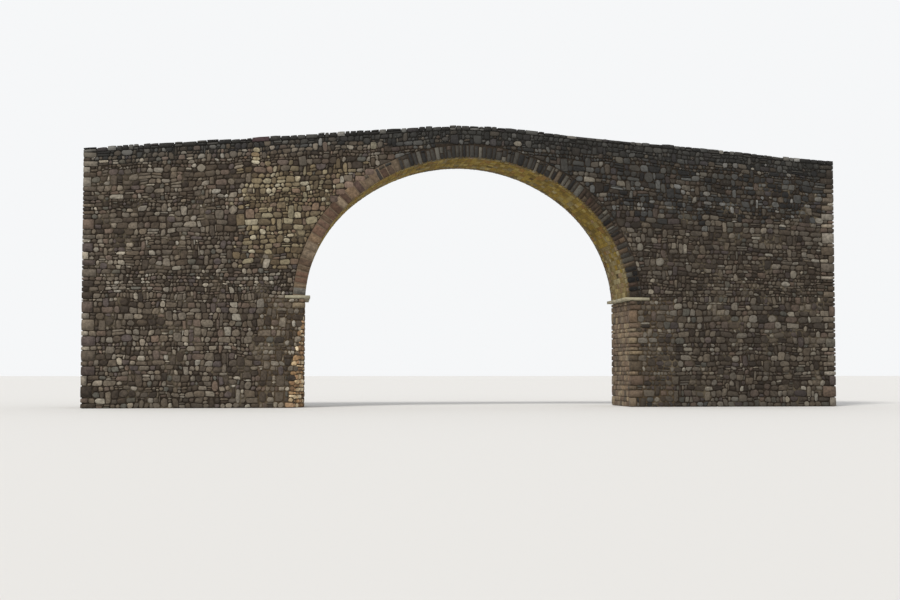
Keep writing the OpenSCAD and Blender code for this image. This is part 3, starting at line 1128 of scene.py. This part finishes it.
def coping_width(rnd, face, x):
    width = min(max(0.27 * math.exp(rnd.gauss(0, 0.32)), 0.15), 0.52)
    if face == 0 and x < LONG_STONE_X <= x + width + 0.1:
        width = LONG_STONE_X - x
    elif is_long_stone(face, x):
        width = LONG_STONE_LENGTH
    return to_joint(x, width, (0.0, HALF_LENGTH), 0.15)


def coping_top(rnd, face, x):
    """Level of the top of a stone of the top course."""
    if face == 0:
        top = float(np.interp(x, *zip(*TOP_LINE)))
    else:
        top = 9.668 + 0.016 * math.sin(x * 1.3) + 0.012 * math.sin(x * 3.1 + 1)
    top = min(top + rnd.gauss(-0.004, 0.011), TOP - 0.001)
    return top - 0.03 if rnd.random() < 0.05 else top


def lay_coping_stone(rnd, face, x, width):
    """One length of the top course: one stone, or split across the wall, or two thin ones."""
    is_long = is_long_stone(face, x)
    node = FACES[face] + "_" + side_of(x + width / 2) + "_top_course"
    top = coping_top(rnd, face, x + width / 2)
    spans = [(ROAD_HALF, HALF_WIDTH)]
    if rnd.random() < 0.45:
        cut = ROAD_HALF + rnd.uniform(0.12, 0.23)
        spans = [(ROAD_HALF, cut - 0.005), (cut + 0.005, HALF_WIDTH)]
    x0, x1 = drawn_in(x, x + width, 0.004, -HALF_LENGTH, HALF_LENGTH)
    for near, far in spans:
        y0, y1 = sorted((OUT[face] * near, OUT[face] * far))
        low = COPING + 0.004
        high = top - (0.0 if far == HALF_WIDTH else abs(rnd.gauss(0, 0.016)))
        colour = LONG_STONE_COLOUR if is_long else tint(rnd, "dark", 1.06)
        levels = [(low, high)]
        if not is_long and rnd.random() < 0.30:
            part = low + (high - low) * rnd.uniform(0.42, 0.6)
            levels = [(low, part - 0.004), (part + 0.004, high)]
        for v0, v1 in levels:
            if len(levels) > 1:
                colour = tint(rnd, "dark", 1.06)
            weather = 0.2 if is_long else weathered(rnd, 0.62, 0.18)
            block(rnd, node, "hump", (x0, y0, v0), (x1, y1, v1), colour, weather, 0.016, 0.010)


def lay_coping():
    rnd = random.Random(67)
    for face in (0, 1):
        x = -HALF_LENGTH
        while x < HALF_LENGTH - CLOSE:
            width = coping_width(rnd, face, x)
            lay_coping_stone(rnd, face, x, width)
            x += width


# Course lines on the inner sides of the parapets, as levels over the crown
INSIDE_LINES = (9.135, 9.262, 9.395, COPING)


def inside_line(level, x):
    """Height of such a line at x: slightly wavy, but even under the top course."""
    return level + 0.010 * math.sin(3.1 * x + 7 * level) * (level < COPING) - fall_at(x)


def lay_parapet_insides():
    rnd = random.Random(71)
    for name in FACES:
        for levels in zip(INSIDE_LINES, INSIDE_LINES[1:]):
            height = levels[1] - levels[0]
            for stone in leaning_run(rnd, -HALF_LENGTH, HALF_LENGTH, height, INSIDE_RUN):
                a, b = stone[:2]
                outer = (a < -HALF_LENGTH + CLOSE, b > HALF_LENGTH - CLOSE)
                lines = [[inside_line(level, x) for x in (a, b)] for level in levels]
                palette = "grey_brown" if rnd.random() < 0.6 else "dark"
                lay(rnd, name + "_" + side_of(a + b) + "_parapet", name + "_inner",
                    leaning_cell(stone, *lines, SIDE_GAP, outer), tint(rnd, palette),
                    weathered(rnd, 0.35, 0.15), INSIDE_CUT)


def row_edge(x, y, turn, gap):
    """Where the edge of a row of cobbles runs: wavy, but straight at the ends of the road."""
    return x if abs(x) > HALF_LENGTH - CLOSE else x + 0.020 * math.sin(2.6 * y + turn) + gap


def lay_road():
    """Cobbles in rows across the road, worn paler in its middle."""
    rnd = random.Random(73)
    half = ROAD_GAP / 2
    x = -HALF_LENGTH
    rows = run_of_widths(rnd, 2 * HALF_LENGTH, 0.19, ROW_RUN)
    turns = [rnd.uniform(0, TURN) for _ in range(len(rows) + 1)]
    for row, turn, next_turn in zip(rows, turns, turns[1:]):
        node = side_of(x + row / 2) + "_ramp_paving"
        if abs(x + row / 2) <= CREST_REACH:
            node = "crown_paving"
        y = -ROAD_HALF
        for width in run_of_widths(rnd, 2 * ROAD_HALF, 0.19, COBBLE_RUN):
            a, b = y, y + width
            y = b
            cell = [
                (row_edge(x, a, turn, half), a + half),
                (row_edge(x + row, a, next_turn, -half), a + half),
                (row_edge(x + row, b, next_turn, -half), b - half),
                (row_edge(x, b, turn, half), b - half),
            ]
            centre = 1 - min(abs((a + b) / 2) / ROAD_HALF, 1)
            lay(rnd, node, "road", cell, tint(rnd, "cobble", 1.0 + 0.10 * centre),
                weathered(rnd, 0.34 - 0.22 * centre, 0.08), ROAD_CUT)
        x += row


class Mesh:
    """Points, faces and looks of one piece, gathered part by part."""

    def __init__(self):
        self.points, self.tints, self.wears = [], [], []
        self.corners, self.counts, self.mortar = [], [], []
        self.total = 0

    def add(self, points, faces, tints, wears, copies=1, mortar=False):
        """Adds one body of points and faces, or many that share one set of faces."""
        size = len(points) // copies
        counts = np.tile([len(face) for face in faces], copies)
        flat = np.array([point for face in faces for point in face])
        starts = self.total + size * np.arange(copies)
        self.points.append(points)
        self.tints.append(tints)
        self.wears.append(wears)
        self.corners.append((flat[None] + starts[:, None]).ravel())
        self.counts.append(counts)
        self.mortar.append(np.full(len(counts), int(mortar)))
        self.total += len(points)


meshes = defaultdict(Mesh)
shape_rng = np.random.default_rng(5)
wash_rnd = random.Random(79)


def outward(points, faces):
    """The faces of a closed body, all turned round if they look inwards."""
    points = points - points.mean(0)
    total = 0.0
    for face in faces:
        for i in range(1, len(face) - 1):
            a, b, c = points[face[0]], points[face[i]], points[face[i + 1]]
            total += np.dot(a, np.cross(b, c))
    return [face[::-1] for face in faces] if total < 0 else faces


def add_stones(node, place, at, faces, tints, wears):
    """Adds stones that share one set of faces: at is (stones, points, 3) in the place."""
    points = np.stack(np.broadcast_arrays(*PLACES[place](*np.moveaxis(at, 2, 0))), -1)
    count, size = points.shape[:2]
    meshes[node].add(points.reshape(-1, 3), outward(points[0], faces), tints.reshape(-1, 3),
                     np.repeat(wears, size, axis=0), count)


def outline_faces(n):
    """Faces of a stone: its back, three rings of n points and a fan round its middle."""
    faces = [list(range(n))[::-1]]
    for i in range(n):
        j = (i + 1) % n
        faces += [[low + i, low + j, low + n + j, low + n + i] for low in (0, n, 2 * n)]
        faces.append([3 * n + i, 3 * n + j, 4 * n])
    return faces


def shape_outlines():
    """Gives the stones with an outline their worn, uneven faces."""
    least = 0.0006
    for (node, place, n), stones in outlines.items():
        outline = np.array([stone[0] for stone in stones])
        data = np.array([stone[1:] for stone in stones])
        edge, deep, bevel, back, tip_u, tip_w = data.T[:6, :, None]
        count = len(stones)
        middle = outline.mean(1, keepdims=True)
        extent = np.ptp(outline, axis=1)[:, None]
        shrink = np.clip(1 - 2 * bevel[..., None] / extent, 0.42, 0.92)
        if place == "worn":
            shrink = np.full_like(shrink, 0.60)
        rough = (edge > 0.01) * 1.0
        inner = middle + (outline - middle) * shrink
        inner = inner + (outline - inner) * shape_rng.uniform(-0.2, 0.2, (count, n, 1))
        shoulder = middle + (outline - middle) * (1 - 0.42 * (1 - shrink))
        rim = edge + shape_rng.uniform(-0.003, 0.003, (count, n)) * rough
        slope = (inner - middle) / extent
        top = deep + 0.008 * tip_u * slope[..., 0] + 0.008 * tip_w * slope[..., 1]
        top = top + shape_rng.uniform(0, 0.005, (count, n)) * rough
        top = np.clip(np.minimum(top, rim - 0.0008), least, None)
        lip = rim + (top - rim) * (0.62 + shape_rng.uniform(-0.08, 0.08, (count, n)))
        peak = np.clip(deep - shape_rng.uniform(0, 0.003, (count, 1)), least, None)
        flat = np.concatenate([outline, outline, shoulder, inner, middle], 1)
        depth = np.concatenate([np.repeat(back, n, 1), rim, lip, top, peak], 1)
        at = np.concatenate([flat, depth[..., None]], 2)
        tints = np.repeat(data[:, None, 6:9], at.shape[1], 1)
        wears = np.column_stack([data[:, 9:11], np.zeros(count)])
        add_stones(node, place, at, outline_faces(n), tints, wears)


def lattice():
    """Points and outward faces of a block with three points along each edge."""
    spots = [spot for spot in np.ndindex(3, 3, 3) if spot != (1, 1, 1)]
    faces = []
    for axis in range(3):
        for end in (0, 2):
            for p, q in np.ndindex(2, 2):
                quad = []
                for dp, dq in ((0, 0), (1, 0), (1, 1), (0, 1)):
                    spot = [end, p + dp, q + dq]
                    quad.append(spots.index(tuple(spot[-axis:] + spot[:-axis])))
                faces.append(quad if end == 2 else quad[::-1])
    return np.array(spots), faces


def wash_undersides(stones, tints, side):
    """Runs the colours of the soffit, partly painted golden light, over the undersides of the ring
    stones.
    """
    _, heights = along_arch(stones[:, 0], 0)
    for stone, row, height in zip(stones, tints, heights):
        if stone[2] < 0.01:
            palette = "buff" if wash_rnd.random() < soffit_buff(height) else "ochre_and_golden_light"
            under = (side[:, 2] < 0) & (side[:, 1] != (-1 if stone[1] < 0 else 1))
            row[under] = tint(wash_rnd, palette, 0.94)


def shape_blocks():
    """Gives the whole blocks their rounded edges and uneven faces."""
    spots, faces = lattice()
    side = spots - 1
    extremes = np.abs(side).sum(1)
    pull = np.select([extremes == 3, extremes == 2], [0.62, 0.34], 0.0)[:, None] * np.abs(side)
    for (node, place), stones in blocks.items():
        data = np.array(stones)
        low, size = data[:, None, 0:3], (data[:, 3:6] - data[:, 0:3])[:, None]
        rounding, rough = data[:, 6, None, None], data[:, 7, None, None]
        count, points = len(data), len(spots)
        share = spots / 2 + shape_rng.uniform(-0.10, 0.10, (count, points, 3)) * (side == 0)
        tints = np.repeat(data[:, None, 8:11], points, 1)
        pulled = pull * rounding * shape_rng.uniform(0.6, 1.5, (count, points, 1))
        if place == "ring":
            share[:, side[:, 2] == 0, 2] *= 0.08
            pulled[:, side[:, 2] < 0] *= 0.45
            wash_undersides(data, tints, side)
        jitter = shape_rng.uniform(0, 1, (count, points, 3)) * rough * np.abs(side)
        at = low + share * size - side * np.minimum(pulled + jitter, 0.3 * size)
        wears = np.column_stack([data[:, 11:13], np.zeros(count)])
        add_stones(node, place, at, faces, tints, wears)


# Colours of what lies in the joints. The mortar of the walls, the rings and the parapets is painted
# dark for the shade in the deep joints; the lime itself is paler.
SHADED_MORTAR = linear(46, 38, 29)
SHADED_DARK_MORTAR = linear(40, 37, 33)
WARM_MORTAR = linear(76, 64, 48)
PALE_MORTAR = linear(120, 110, 90)
VAULT_MORTAR = linear(104, 84, 44)
LIME = linear(104, 90, 74)
EARTH = linear(84, 74, 58)


def add_mortar(name, points, faces, colours):
    """Adds a body of mortar, more weathered the higher it lies."""
    weather = np.clip(0.12 + 0.5 * (points[:, 2] + fall(points[:, 0]) - 8.9), 0.1, 0.6)
    wears = np.stack([weather, 0 * weather, 0 * weather], 1)
    meshes[name].add(points, faces, colours, wears, mortar=True)


def node_shape(name):
    """Welded points and faces of a CAD node."""
    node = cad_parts[name]
    points = np.empty(len(node.data.vertices) * 3)
    node.data.vertices.foreach_get("co", points)
    world = np.array(node.matrix_world)
    points = points.reshape(-1, 3) @ world[:3, :3].T + world[:3, 3]
    _, first, same = np.unique(
        np.round(points, 5), axis=0, return_index=True, return_inverse=True
    )
    same = same.ravel()
    faces = [[int(same[v]) for v in polygon.vertices] for polygon in node.data.polygons]
    return points[first], [face for face in faces if len(set(face)) == len(face)]


def add_bed(name, move, colour=SHADED_MORTAR):
    """The mortar of a node: its own shape, drawn back behind the stones."""
    points, faces = node_shape(name)
    add_mortar(name, move(points), faces, np.repeat(colour[None], len(points), 0))


def moved(values, size, to):
    """Coordinates that stand at a size on either side of the middle, moved to another size."""
    return np.where(np.abs(np.abs(values) - size) < 0.002, np.sign(values) * to, values)


def draw_back(points):
    """Faces and ends go back by the depth of the joints."""
    x, y, z = points.T
    x = moved(x, HALF_LENGTH, HALF_LENGTH - WALL_JOINT)
    return np.stack([x, moved(y, HALF_WIDTH, HALF_WIDTH - WALL_JOINT), z], 1)


def draw_back_parapet(points):
    x, y, z = draw_back(points).T
    return np.stack([x, moved(y, ROAD_HALF, ROAD_HALF + WALL_JOINT), z], 1)


def draw_back_top_course(points):
    x, y, z = draw_back_parapet(points).T
    on_top = points[:, 2] + fall(points[:, 0]) > TOP - 0.01
    return np.stack([x, y, z - np.where(on_top, 0.075, 0)], 1)


def draw_back_abutment(points):
    """The jamb and the broken corner go back as well."""
    x, y, z = draw_back(points).T
    jamb = np.abs(np.abs(x) - HALF_SPAN) < 0.002
    corner = jamb & (x < 0) & (np.abs(y + HALF_WIDTH - WORN_DEPTH) < 0.01)
    broken = (x < -HALF_SPAN - 0.3) & (x > -HALF_SPAN - 0.45)
    x = np.where(broken, x - 0.05, moved(x, HALF_SPAN, HALF_SPAN + WALL_JOINT))
    return np.stack([x, np.where(corner, y + 0.10, y), z], 1)


def draw_back_impost(points):
    x, y, z = points.T
    front = np.sign(x) * (HALF_SPAN - IMPOST_REACH + 0.03)
    x = np.where(np.abs(x) < HALF_SPAN, front, x)
    z = np.where(z > SPRINGING - 0.05, SPRINGING - 0.012, IMPOST_BED + 0.012)
    return np.stack([x, np.sign(y) * (HALF_WIDTH - 0.02), z], 1)


def draw_back_paving(points):
    x, y, z = points.T
    z = np.where(z + fall(x) > ROAD - 0.02, z - 0.022, z)
    return np.stack([moved(x, HALF_LENGTH, HALF_LENGTH - 0.012), y, z], 1)


def add_arch_bed(name, s0, s1, y0, y1, height, colour, cracked=False):
    """A band of mortar that follows the arch, behind the ring stones or the vault stones."""
    steps = max(8, round((s1 - s0) / 0.08))
    s = np.linspace(s0, s1, steps + 1)
    near = y0 + 0 * s
    far = y1 - np.array([crack_width(at) for at in s]) if cracked else y1 + 0 * s
    low, mid = VAULT_JOINT, VAULT_JOINT + 0.03
    section = ((near, low), (far, low), (far, mid), (far, height), (near, height), (near, mid))
    size = len(section)
    points = []
    for y, r in section:
        x, z = along_arch(s, r)
        points.append(np.stack([x, y, z], 1))
    points = np.stack(points, 1).reshape(-1, 3)
    faces = [list(range(size))[::-1]]
    for low in range(0, size * steps, size):
        high = low + size
        for j in range(size):
            k = (j + 1) % size
            faces.append([low + j, low + k, high + k, high + j])
    faces.append([size * steps + j for j in range(size)])
    limed = np.array([limed_share(x) for x in along_arch(s, 0)[0]])[:, None, None]
    colours = np.tile(colour * (1 - limed) + LIME * limed, (1, size, 1))
    colours[:, :2] = VAULT_MORTAR
    add_mortar(name, points, outward(points, faces), colours.reshape(-1, 3))


def add_beds():
    for face in FACES:
        for side in SIDES.values():
            name = face + "_" + side
            add_bed(name + "_spandrel", draw_back)
            add_bed(name + "_wing_wall", draw_back)
            add_bed(name + "_parapet", draw_back_parapet, SHADED_DARK_MORTAR)
            add_bed(name + "_top_course", draw_back_top_course, SHADED_DARK_MORTAR)
    for side in SIDES.values():
        add_bed(side + "_abutment", draw_back_abutment, WARM_MORTAR)
        add_bed(side + "_impost", draw_back_impost, PALE_MORTAR)
        add_bed(side + "_end_wall", draw_back)
        add_bed(side + "_ramp_paving", draw_back_paving, EARTH)
    add_bed("crown_paving", draw_back_paving, EARTH)
    for s0, s1 in zip((0.0,) + ARC_JOINTS, ARC_JOINTS):
        part = arch_part((s0 + s1) / 2)
        ends = (-HALF_WIDTH + RING_JOINT, -CORE_HALF), (CORE_HALF, HALF_WIDTH - RING_JOINT)
        for face, (y0, y1) in zip(FACES, ends):
            add_arch_bed(face + "_" + part + "_ring", s0, s1, y0, y1, RING_HEIGHT, SHADED_MORTAR)
        add_arch_bed(part + "_vault", s0, s1, -CORE_HALF, CORE_HALF, VAULT_HEIGHT, VAULT_MORTAR,
                     cracked=True)


def paint(*rgb):
    """A colour in 0 to 255 as a socket takes it."""
    return (*(float(c) for c in linear(*rgb)), 1.0)


class Graph:
    """A short way to write a material's nodes."""

    def __init__(self, name):
        self.material = bpy.data.materials.new(name)
        self.material.use_nodes = True
        self.tree = self.material.node_tree
        self.shader = self.tree.nodes["Principled BSDF"]

    def join(self, value, socket):
        if isinstance(value, bpy.types.NodeSocket):
            self.tree.links.new(value, socket)
        else:
            socket.default_value = value

    def node(self, kind, inputs, output=0, **settings):
        """An output of a new node, whose inputs are linked or set."""
        made = self.tree.nodes.new("ShaderNode" + kind)
        for key, value in settings.items():
            setattr(made, key, value)
        for key, value in inputs.items():
            self.join(value, made.inputs[key])
        return made.outputs[output]

    def math(self, operation, a, b):
        return self.node("Math", {0: a, 1: b}, operation=operation)

    def times(self, a, b):
        return self.math("MULTIPLY", a, b)

    def plus(self, a, b):
        return self.math("ADD", a, b)

    def minus(self, a, b):
        return self.math("SUBTRACT", a, b)

    def mix(self, factor, a, b, blend="MIX"):
        inputs = {0: factor, 6: a, 7: b}
        return self.node("Mix", inputs, 2, data_type="RGBA", blend_type=blend)

    def noise(self, vector, scale, detail=3.0, rough=0.55):
        inputs = {"Vector": vector, "Scale": scale, "Detail": detail, "Roughness": rough}
        return self.node("TexNoise", inputs, "Fac")

    def cells(self, vector, scale):
        return self.node("TexVoronoi", {"Vector": vector, "Scale": scale}, "Distance")

    def ramp(self, value, low, high, to_low=0.0, to_high=1.0):
        inputs = {
            "Value": value, "From Min": low, "From Max": high, "To Min": to_low, "To Max": to_high,
        }
        return self.node("MapRange", inputs, "Result", interpolation_type="SMOOTHSTEP")

    def finish(self, colour, roughness, height, strength, depth):
        bump = {"Height": height, "Strength": strength, "Distance": depth}
        self.join(colour, self.shader.inputs["Base Color"])
        self.join(roughness, self.shader.inputs["Roughness"])
        self.join(self.node("Bump", bump, "Normal"), self.shader.inputs["Normal"])


def stone_material(name, mottle=0.34, dark=(44, 43, 40), crust=0.35, pits=0.0, grain=38.0,
                   depth=0.010, strength=0.55, roughness=(0.80, 0.96), stain=0.30, lime=0.0,
                   gloss=0.3):
    """Stone or mortar: each stone's own tint, mottled, stained, weathered and grained."""
    g = Graph(name)
    spot = g.node("TexCoord", {}, "Object")
    colour = g.node("Attribute", {}, "Vector", attribute_name="tint")
    wear = g.node("Attribute", {}, "Vector", attribute_name="wear")
    weather, own = (g.node("SeparateXYZ", {0: wear}, axis) for axis in (X, Y))
    # Each stone has its own piece of the grain
    shift = g.node("VectorMath", {0: (37.0, 91.0, 53.0), "Scale": own}, operation="SCALE")
    grainy = g.node("VectorMath", {0: spot, 1: shift}, operation="ADD")
    patch = g.noise(grainy, 11.0, 4.0, 0.6)
    fine = g.noise(grainy, grain, 5.0, 0.65)
    wide = g.noise(spot, 0.9, 4.0, 0.6)
    # Patches and grain lighten and darken the tint
    level = g.times(
        g.ramp(patch, 0.28, 0.72, 1 - mottle, 1 + mottle),
        g.ramp(fine, 0.25, 0.75, 1 - 0.6 * mottle, 1 + 0.6 * mottle),
    )
    colour = g.node("VectorMath", {0: colour, "Scale": level}, operation="SCALE")
    if lime:
        # Lime is left in patches, but not near the road
        height = g.node("SeparateXYZ", {0: spot}, Z)
        patches = g.times(g.ramp(g.noise(spot, 1.7, 3.0), 0.53, 0.66), lime)
        colour = g.mix(g.times(patches, g.ramp(height, 8.2, 7.4)), colour, paint(112, 102, 84))
    # Large stains run over many stones
    damp = g.times(g.ramp(wide, 0.50, 0.72), stain)
    colour = g.mix(damp, colour, (0.30, 0.27, 0.24, 1), "MULTIPLY")
    # Dark crust, more where the stone is more weathered
    amount = g.plus(weather, g.times(g.minus(patch, 0.5), 1.1))
    amount = g.plus(amount, g.times(g.minus(wide, 0.5), 0.8))
    colour = g.mix(g.times(g.ramp(amount, 0.25, 1.0), 0.62), colour, paint(*dark))
    if crust:
        # Pale spots of lichen
        spots = g.times(g.ramp(g.cells(grainy, 26.0), 0.30, 0.18),
                        g.ramp(g.noise(spot, 5.0, 2.0), 0.52, 0.66))
        spots = g.times(spots, g.times(g.plus(weather, 0.25), crust))
        colour = g.mix(spots, colour, paint(146, 146, 132))
    height = g.plus(g.times(patch, 0.7), g.times(fine, 0.55))
    if pits:
        holes = g.times(g.ramp(g.cells(grainy, 34.0), 0.26, 0.10),
                        g.ramp(g.noise(spot, 7.0, 2.0), 0.50, 0.62))
        colour = g.mix(g.times(holes, pits), colour, paint(44, 36, 22))
        height = g.minus(height, g.times(holes, 0.9))
    g.shader.inputs["Specular IOR Level"].default_value = gloss
    g.finish(colour, g.ramp(fine, 0.3, 0.7, *roughness), height, strength, depth)
    return g.material


def core_material():
    """The sealed core: packed earth and small stones."""
    g = Graph("core_fill")
    spot = g.node("TexCoord", {}, "Object")
    stones = g.cells(spot, 7.0)
    fine = g.noise(spot, 45.0, 5.0)
    colour = g.mix(g.ramp(stones, 0.25, 0.55), paint(128, 112, 88), paint(92, 74, 52))
    colour = g.mix(g.ramp(fine, 0.35, 0.7, 0.0, 0.5), colour, paint(60, 48, 34))
    g.finish(colour, g.ramp(fine, 0.3, 0.7, 0.85, 1.0), g.minus(fine, stones), 0.6, 0.03)
    return g.material


LOOKS = {
    "rubble_stone": dict(stain=0.34),
    "lime_mortar": dict(mottle=0.22, crust=0.15, grain=90.0, depth=0.006, strength=0.5,
                        roughness=(0.90, 0.99), lime=0.55),
    "ring_stone": dict(crust=0.25, grain=46.0),
    "ring_pointing": dict(mottle=0.24, crust=0.0, grain=80.0, depth=0.006, strength=0.5,
                          roughness=(0.90, 0.99)),
    "vault_stone": dict(mottle=0.32, dark=(58, 46, 28), crust=0.0, pits=0.75, grain=30.0,
                        depth=0.007, stain=0.45, gloss=0.12),
    "vault_pointing": dict(mottle=0.25, dark=(50, 40, 26), crust=0.0, grain=80.0, depth=0.005,
                           stain=0.38),
    "impost_limestone": dict(mottle=0.14, dark=(96, 92, 82), crust=0.3, grain=55.0, depth=0.005,
                             stain=0.12),
    "road_cobble": dict(mottle=0.26, dark=(58, 58, 46), crust=0.10, grain=42.0, depth=0.007,
                        roughness=(0.62, 0.90), stain=0.25),
    "joint_earth": dict(mottle=0.30, dark=(54, 56, 38), crust=0.0, grain=70.0,
                        roughness=(0.92, 1.0), stain=0.2),
}
MATERIALS = {name: stone_material(name, **look) for name, look in LOOKS.items()}

# What a node's name holds, its slot, its stone and its mortar: the first row that fits counts
SLOTS = (
    ("_ring", "ring_stone", "ring_stone", "ring_pointing"),
    ("_vault", "vault_stone", "vault_stone", "vault_pointing"),
    ("_impost", "impost_stone", "impost_limestone", "lime_mortar"),
    ("_paving", "road_cobbles", "road_cobble", "joint_earth"),
    ("_parapet", "parapet_rubble", "rubble_stone", "lime_mortar"),
    ("_top_course", "parapet_rubble", "rubble_stone", "lime_mortar"),
    ("", "wall_rubble", "rubble_stone", "lime_mortar"),
)


def mesh_data(name, mesh):
    """The mesh of a piece, its stones smooth and its mortar flat."""
    points, corners, counts, is_mortar = (
        np.concatenate(rows) for rows in (mesh.points, mesh.corners, mesh.counts, mesh.mortar)
    )
    data = bpy.data.meshes.new(name)
    data.vertices.add(len(points))
    data.vertices.foreach_set("co", points.astype(np.float32).ravel())
    data.loops.add(len(corners))
    data.loops.foreach_set("vertex_index", corners.astype(np.int32))
    data.polygons.add(len(counts))
    starts = np.concatenate([[0], np.cumsum(counts)[:-1]])
    data.polygons.foreach_set("loop_start", starts.astype(np.int32))
    data.polygons.foreach_set("material_index", is_mortar.astype(np.int32))
    data.update(calc_edges=True)
    data.polygons.foreach_set("use_smooth", is_mortar == 0)
    for layer_name, rows in (("tint", mesh.tints), ("wear", mesh.wears)):
        layer = data.attributes.new(layer_name, "FLOAT_VECTOR", "POINT")
        layer.data.foreach_set("vector", np.concatenate(rows).astype(np.float32).ravel())
    return data


def put(name, data):
    """A new object in the scene."""
    made = bpy.data.objects.new(name, data)
    bpy.context.scene.collection.objects.link(made)
    return made


def build_piece(node, mesh):
    """The stones and the mortar of a node, in place of its plain solid."""
    slot, *materials = next(row[1:] for row in SLOTS if row[0] in node)
    data = mesh_data(node + "_masonry", mesh)
    for name in materials:
        data.materials.append(MATERIALS[name])
    data.validate()
    piece = put(node + "_masonry", data)
    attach(piece, "root")
    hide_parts(node)


def dress_core():
    """The core keeps its plain solids, with a material of its own."""
    core = core_material()
    for side in SIDES.values():
        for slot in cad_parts[side + "_fill"].material_slots:
            slot.material = core


def build_floor(half=500, z=-0.002):
    data = bpy.data.meshes.new("floor")
    corners = [(x, y, z) for x, y in ((-half, -half), (half, -half), (half, half), (-half, half))]
    data.from_pydata(corners, [], [(0, 1, 2, 3)])
    floor = put("floor", data)
    graph = Graph("pale_floor")
    graph.shader.inputs["Base Color"].default_value = (0.72, 0.71, 0.69, 1)
    graph.shader.inputs["Roughness"].default_value = 0.9
    data.materials.append(graph.material)
    floor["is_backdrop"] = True


def background(tree, colour, strength):
    made = tree.nodes.new("ShaderNodeBackground")
    made.inputs["Color"].default_value = (*colour, 1)
    made.inputs["Strength"].default_value = strength
    return made.outputs[0]


def build_world():
    """An even sky: straight, mirrored or through glass it is seen lighter than it shines."""
    world = bpy.data.worlds.new("studio")
    bpy.context.scene.world = world
    world.use_nodes = True
    tree = world.node_tree
    tree.nodes.clear()
    path = tree.nodes.new("ShaderNodeLightPath")
    seen = path.outputs["Is Camera Ray"]
    for ray in ("Is Glossy Ray", "Is Transmission Ray"):
        either = tree.nodes.new("ShaderNodeMath")
        either.operation = "MAXIMUM"
        tree.links.new(seen, either.inputs[0])
        tree.links.new(path.outputs[ray], either.inputs[1])
        seen = either.outputs[0]
    mix = tree.nodes.new("ShaderNodeMixShader")
    out = tree.nodes.new("ShaderNodeOutputWorld")
    tree.links.new(seen, mix.inputs[0])
    tree.links.new(background(tree, (0.97, 0.98, 1.0), 0.68), mix.inputs[1])
    tree.links.new(background(tree, (0.92, 0.93, 0.94), 1.0), mix.inputs[2])
    tree.links.new(mix.outputs[0], out.inputs[0])


def aimed(direction):
    return Vector(direction).to_track_quat("-Z", "Y").to_euler()


def build_sun():
    data = bpy.data.lights.new("key", "SUN")
    data.energy = 2.0
    data.angle = math.radians(14)
    data.color = (1.0, 0.97, 0.92)
    put("key", data).rotation_euler = aimed((0.45, 0.60, -0.85))


def build_camera(yaw=0.118, pitch=0.051):
    """The camera where the photo was taken, as fitted to the arch."""
    data = bpy.data.cameras.new("camera")
    data.sensor_width = 36.0
    data.lens = 57.2
    data.clip_end = 2000.0
    camera = put("camera", data)
    camera.location = (-6.434, -49.901, 1.172)
    across = math.cos(pitch)
    camera.rotation_euler = aimed((math.sin(yaw) * across, math.cos(yaw) * across, math.sin(pitch)))
    bpy.context.scene.camera = camera


lay_face(0)
lay_face(1)
lay_ends()
lay_corners()
lay_jambs()
lay_worn_corner()
lay_arch()
lay_imposts()
lay_coping()
lay_parapet_insides()
lay_road()

shape_outlines()
shape_blocks()
add_beds()
for node, mesh in meshes.items():
    build_piece(node, mesh)
dress_core()

build_floor()
build_world()
build_sun()
build_camera()
bpy.context.scene.view_settings.view_transform = "Standard"

plain = [[[float(c) for c in corner] for corner in box] for box in (cad_box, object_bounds())]
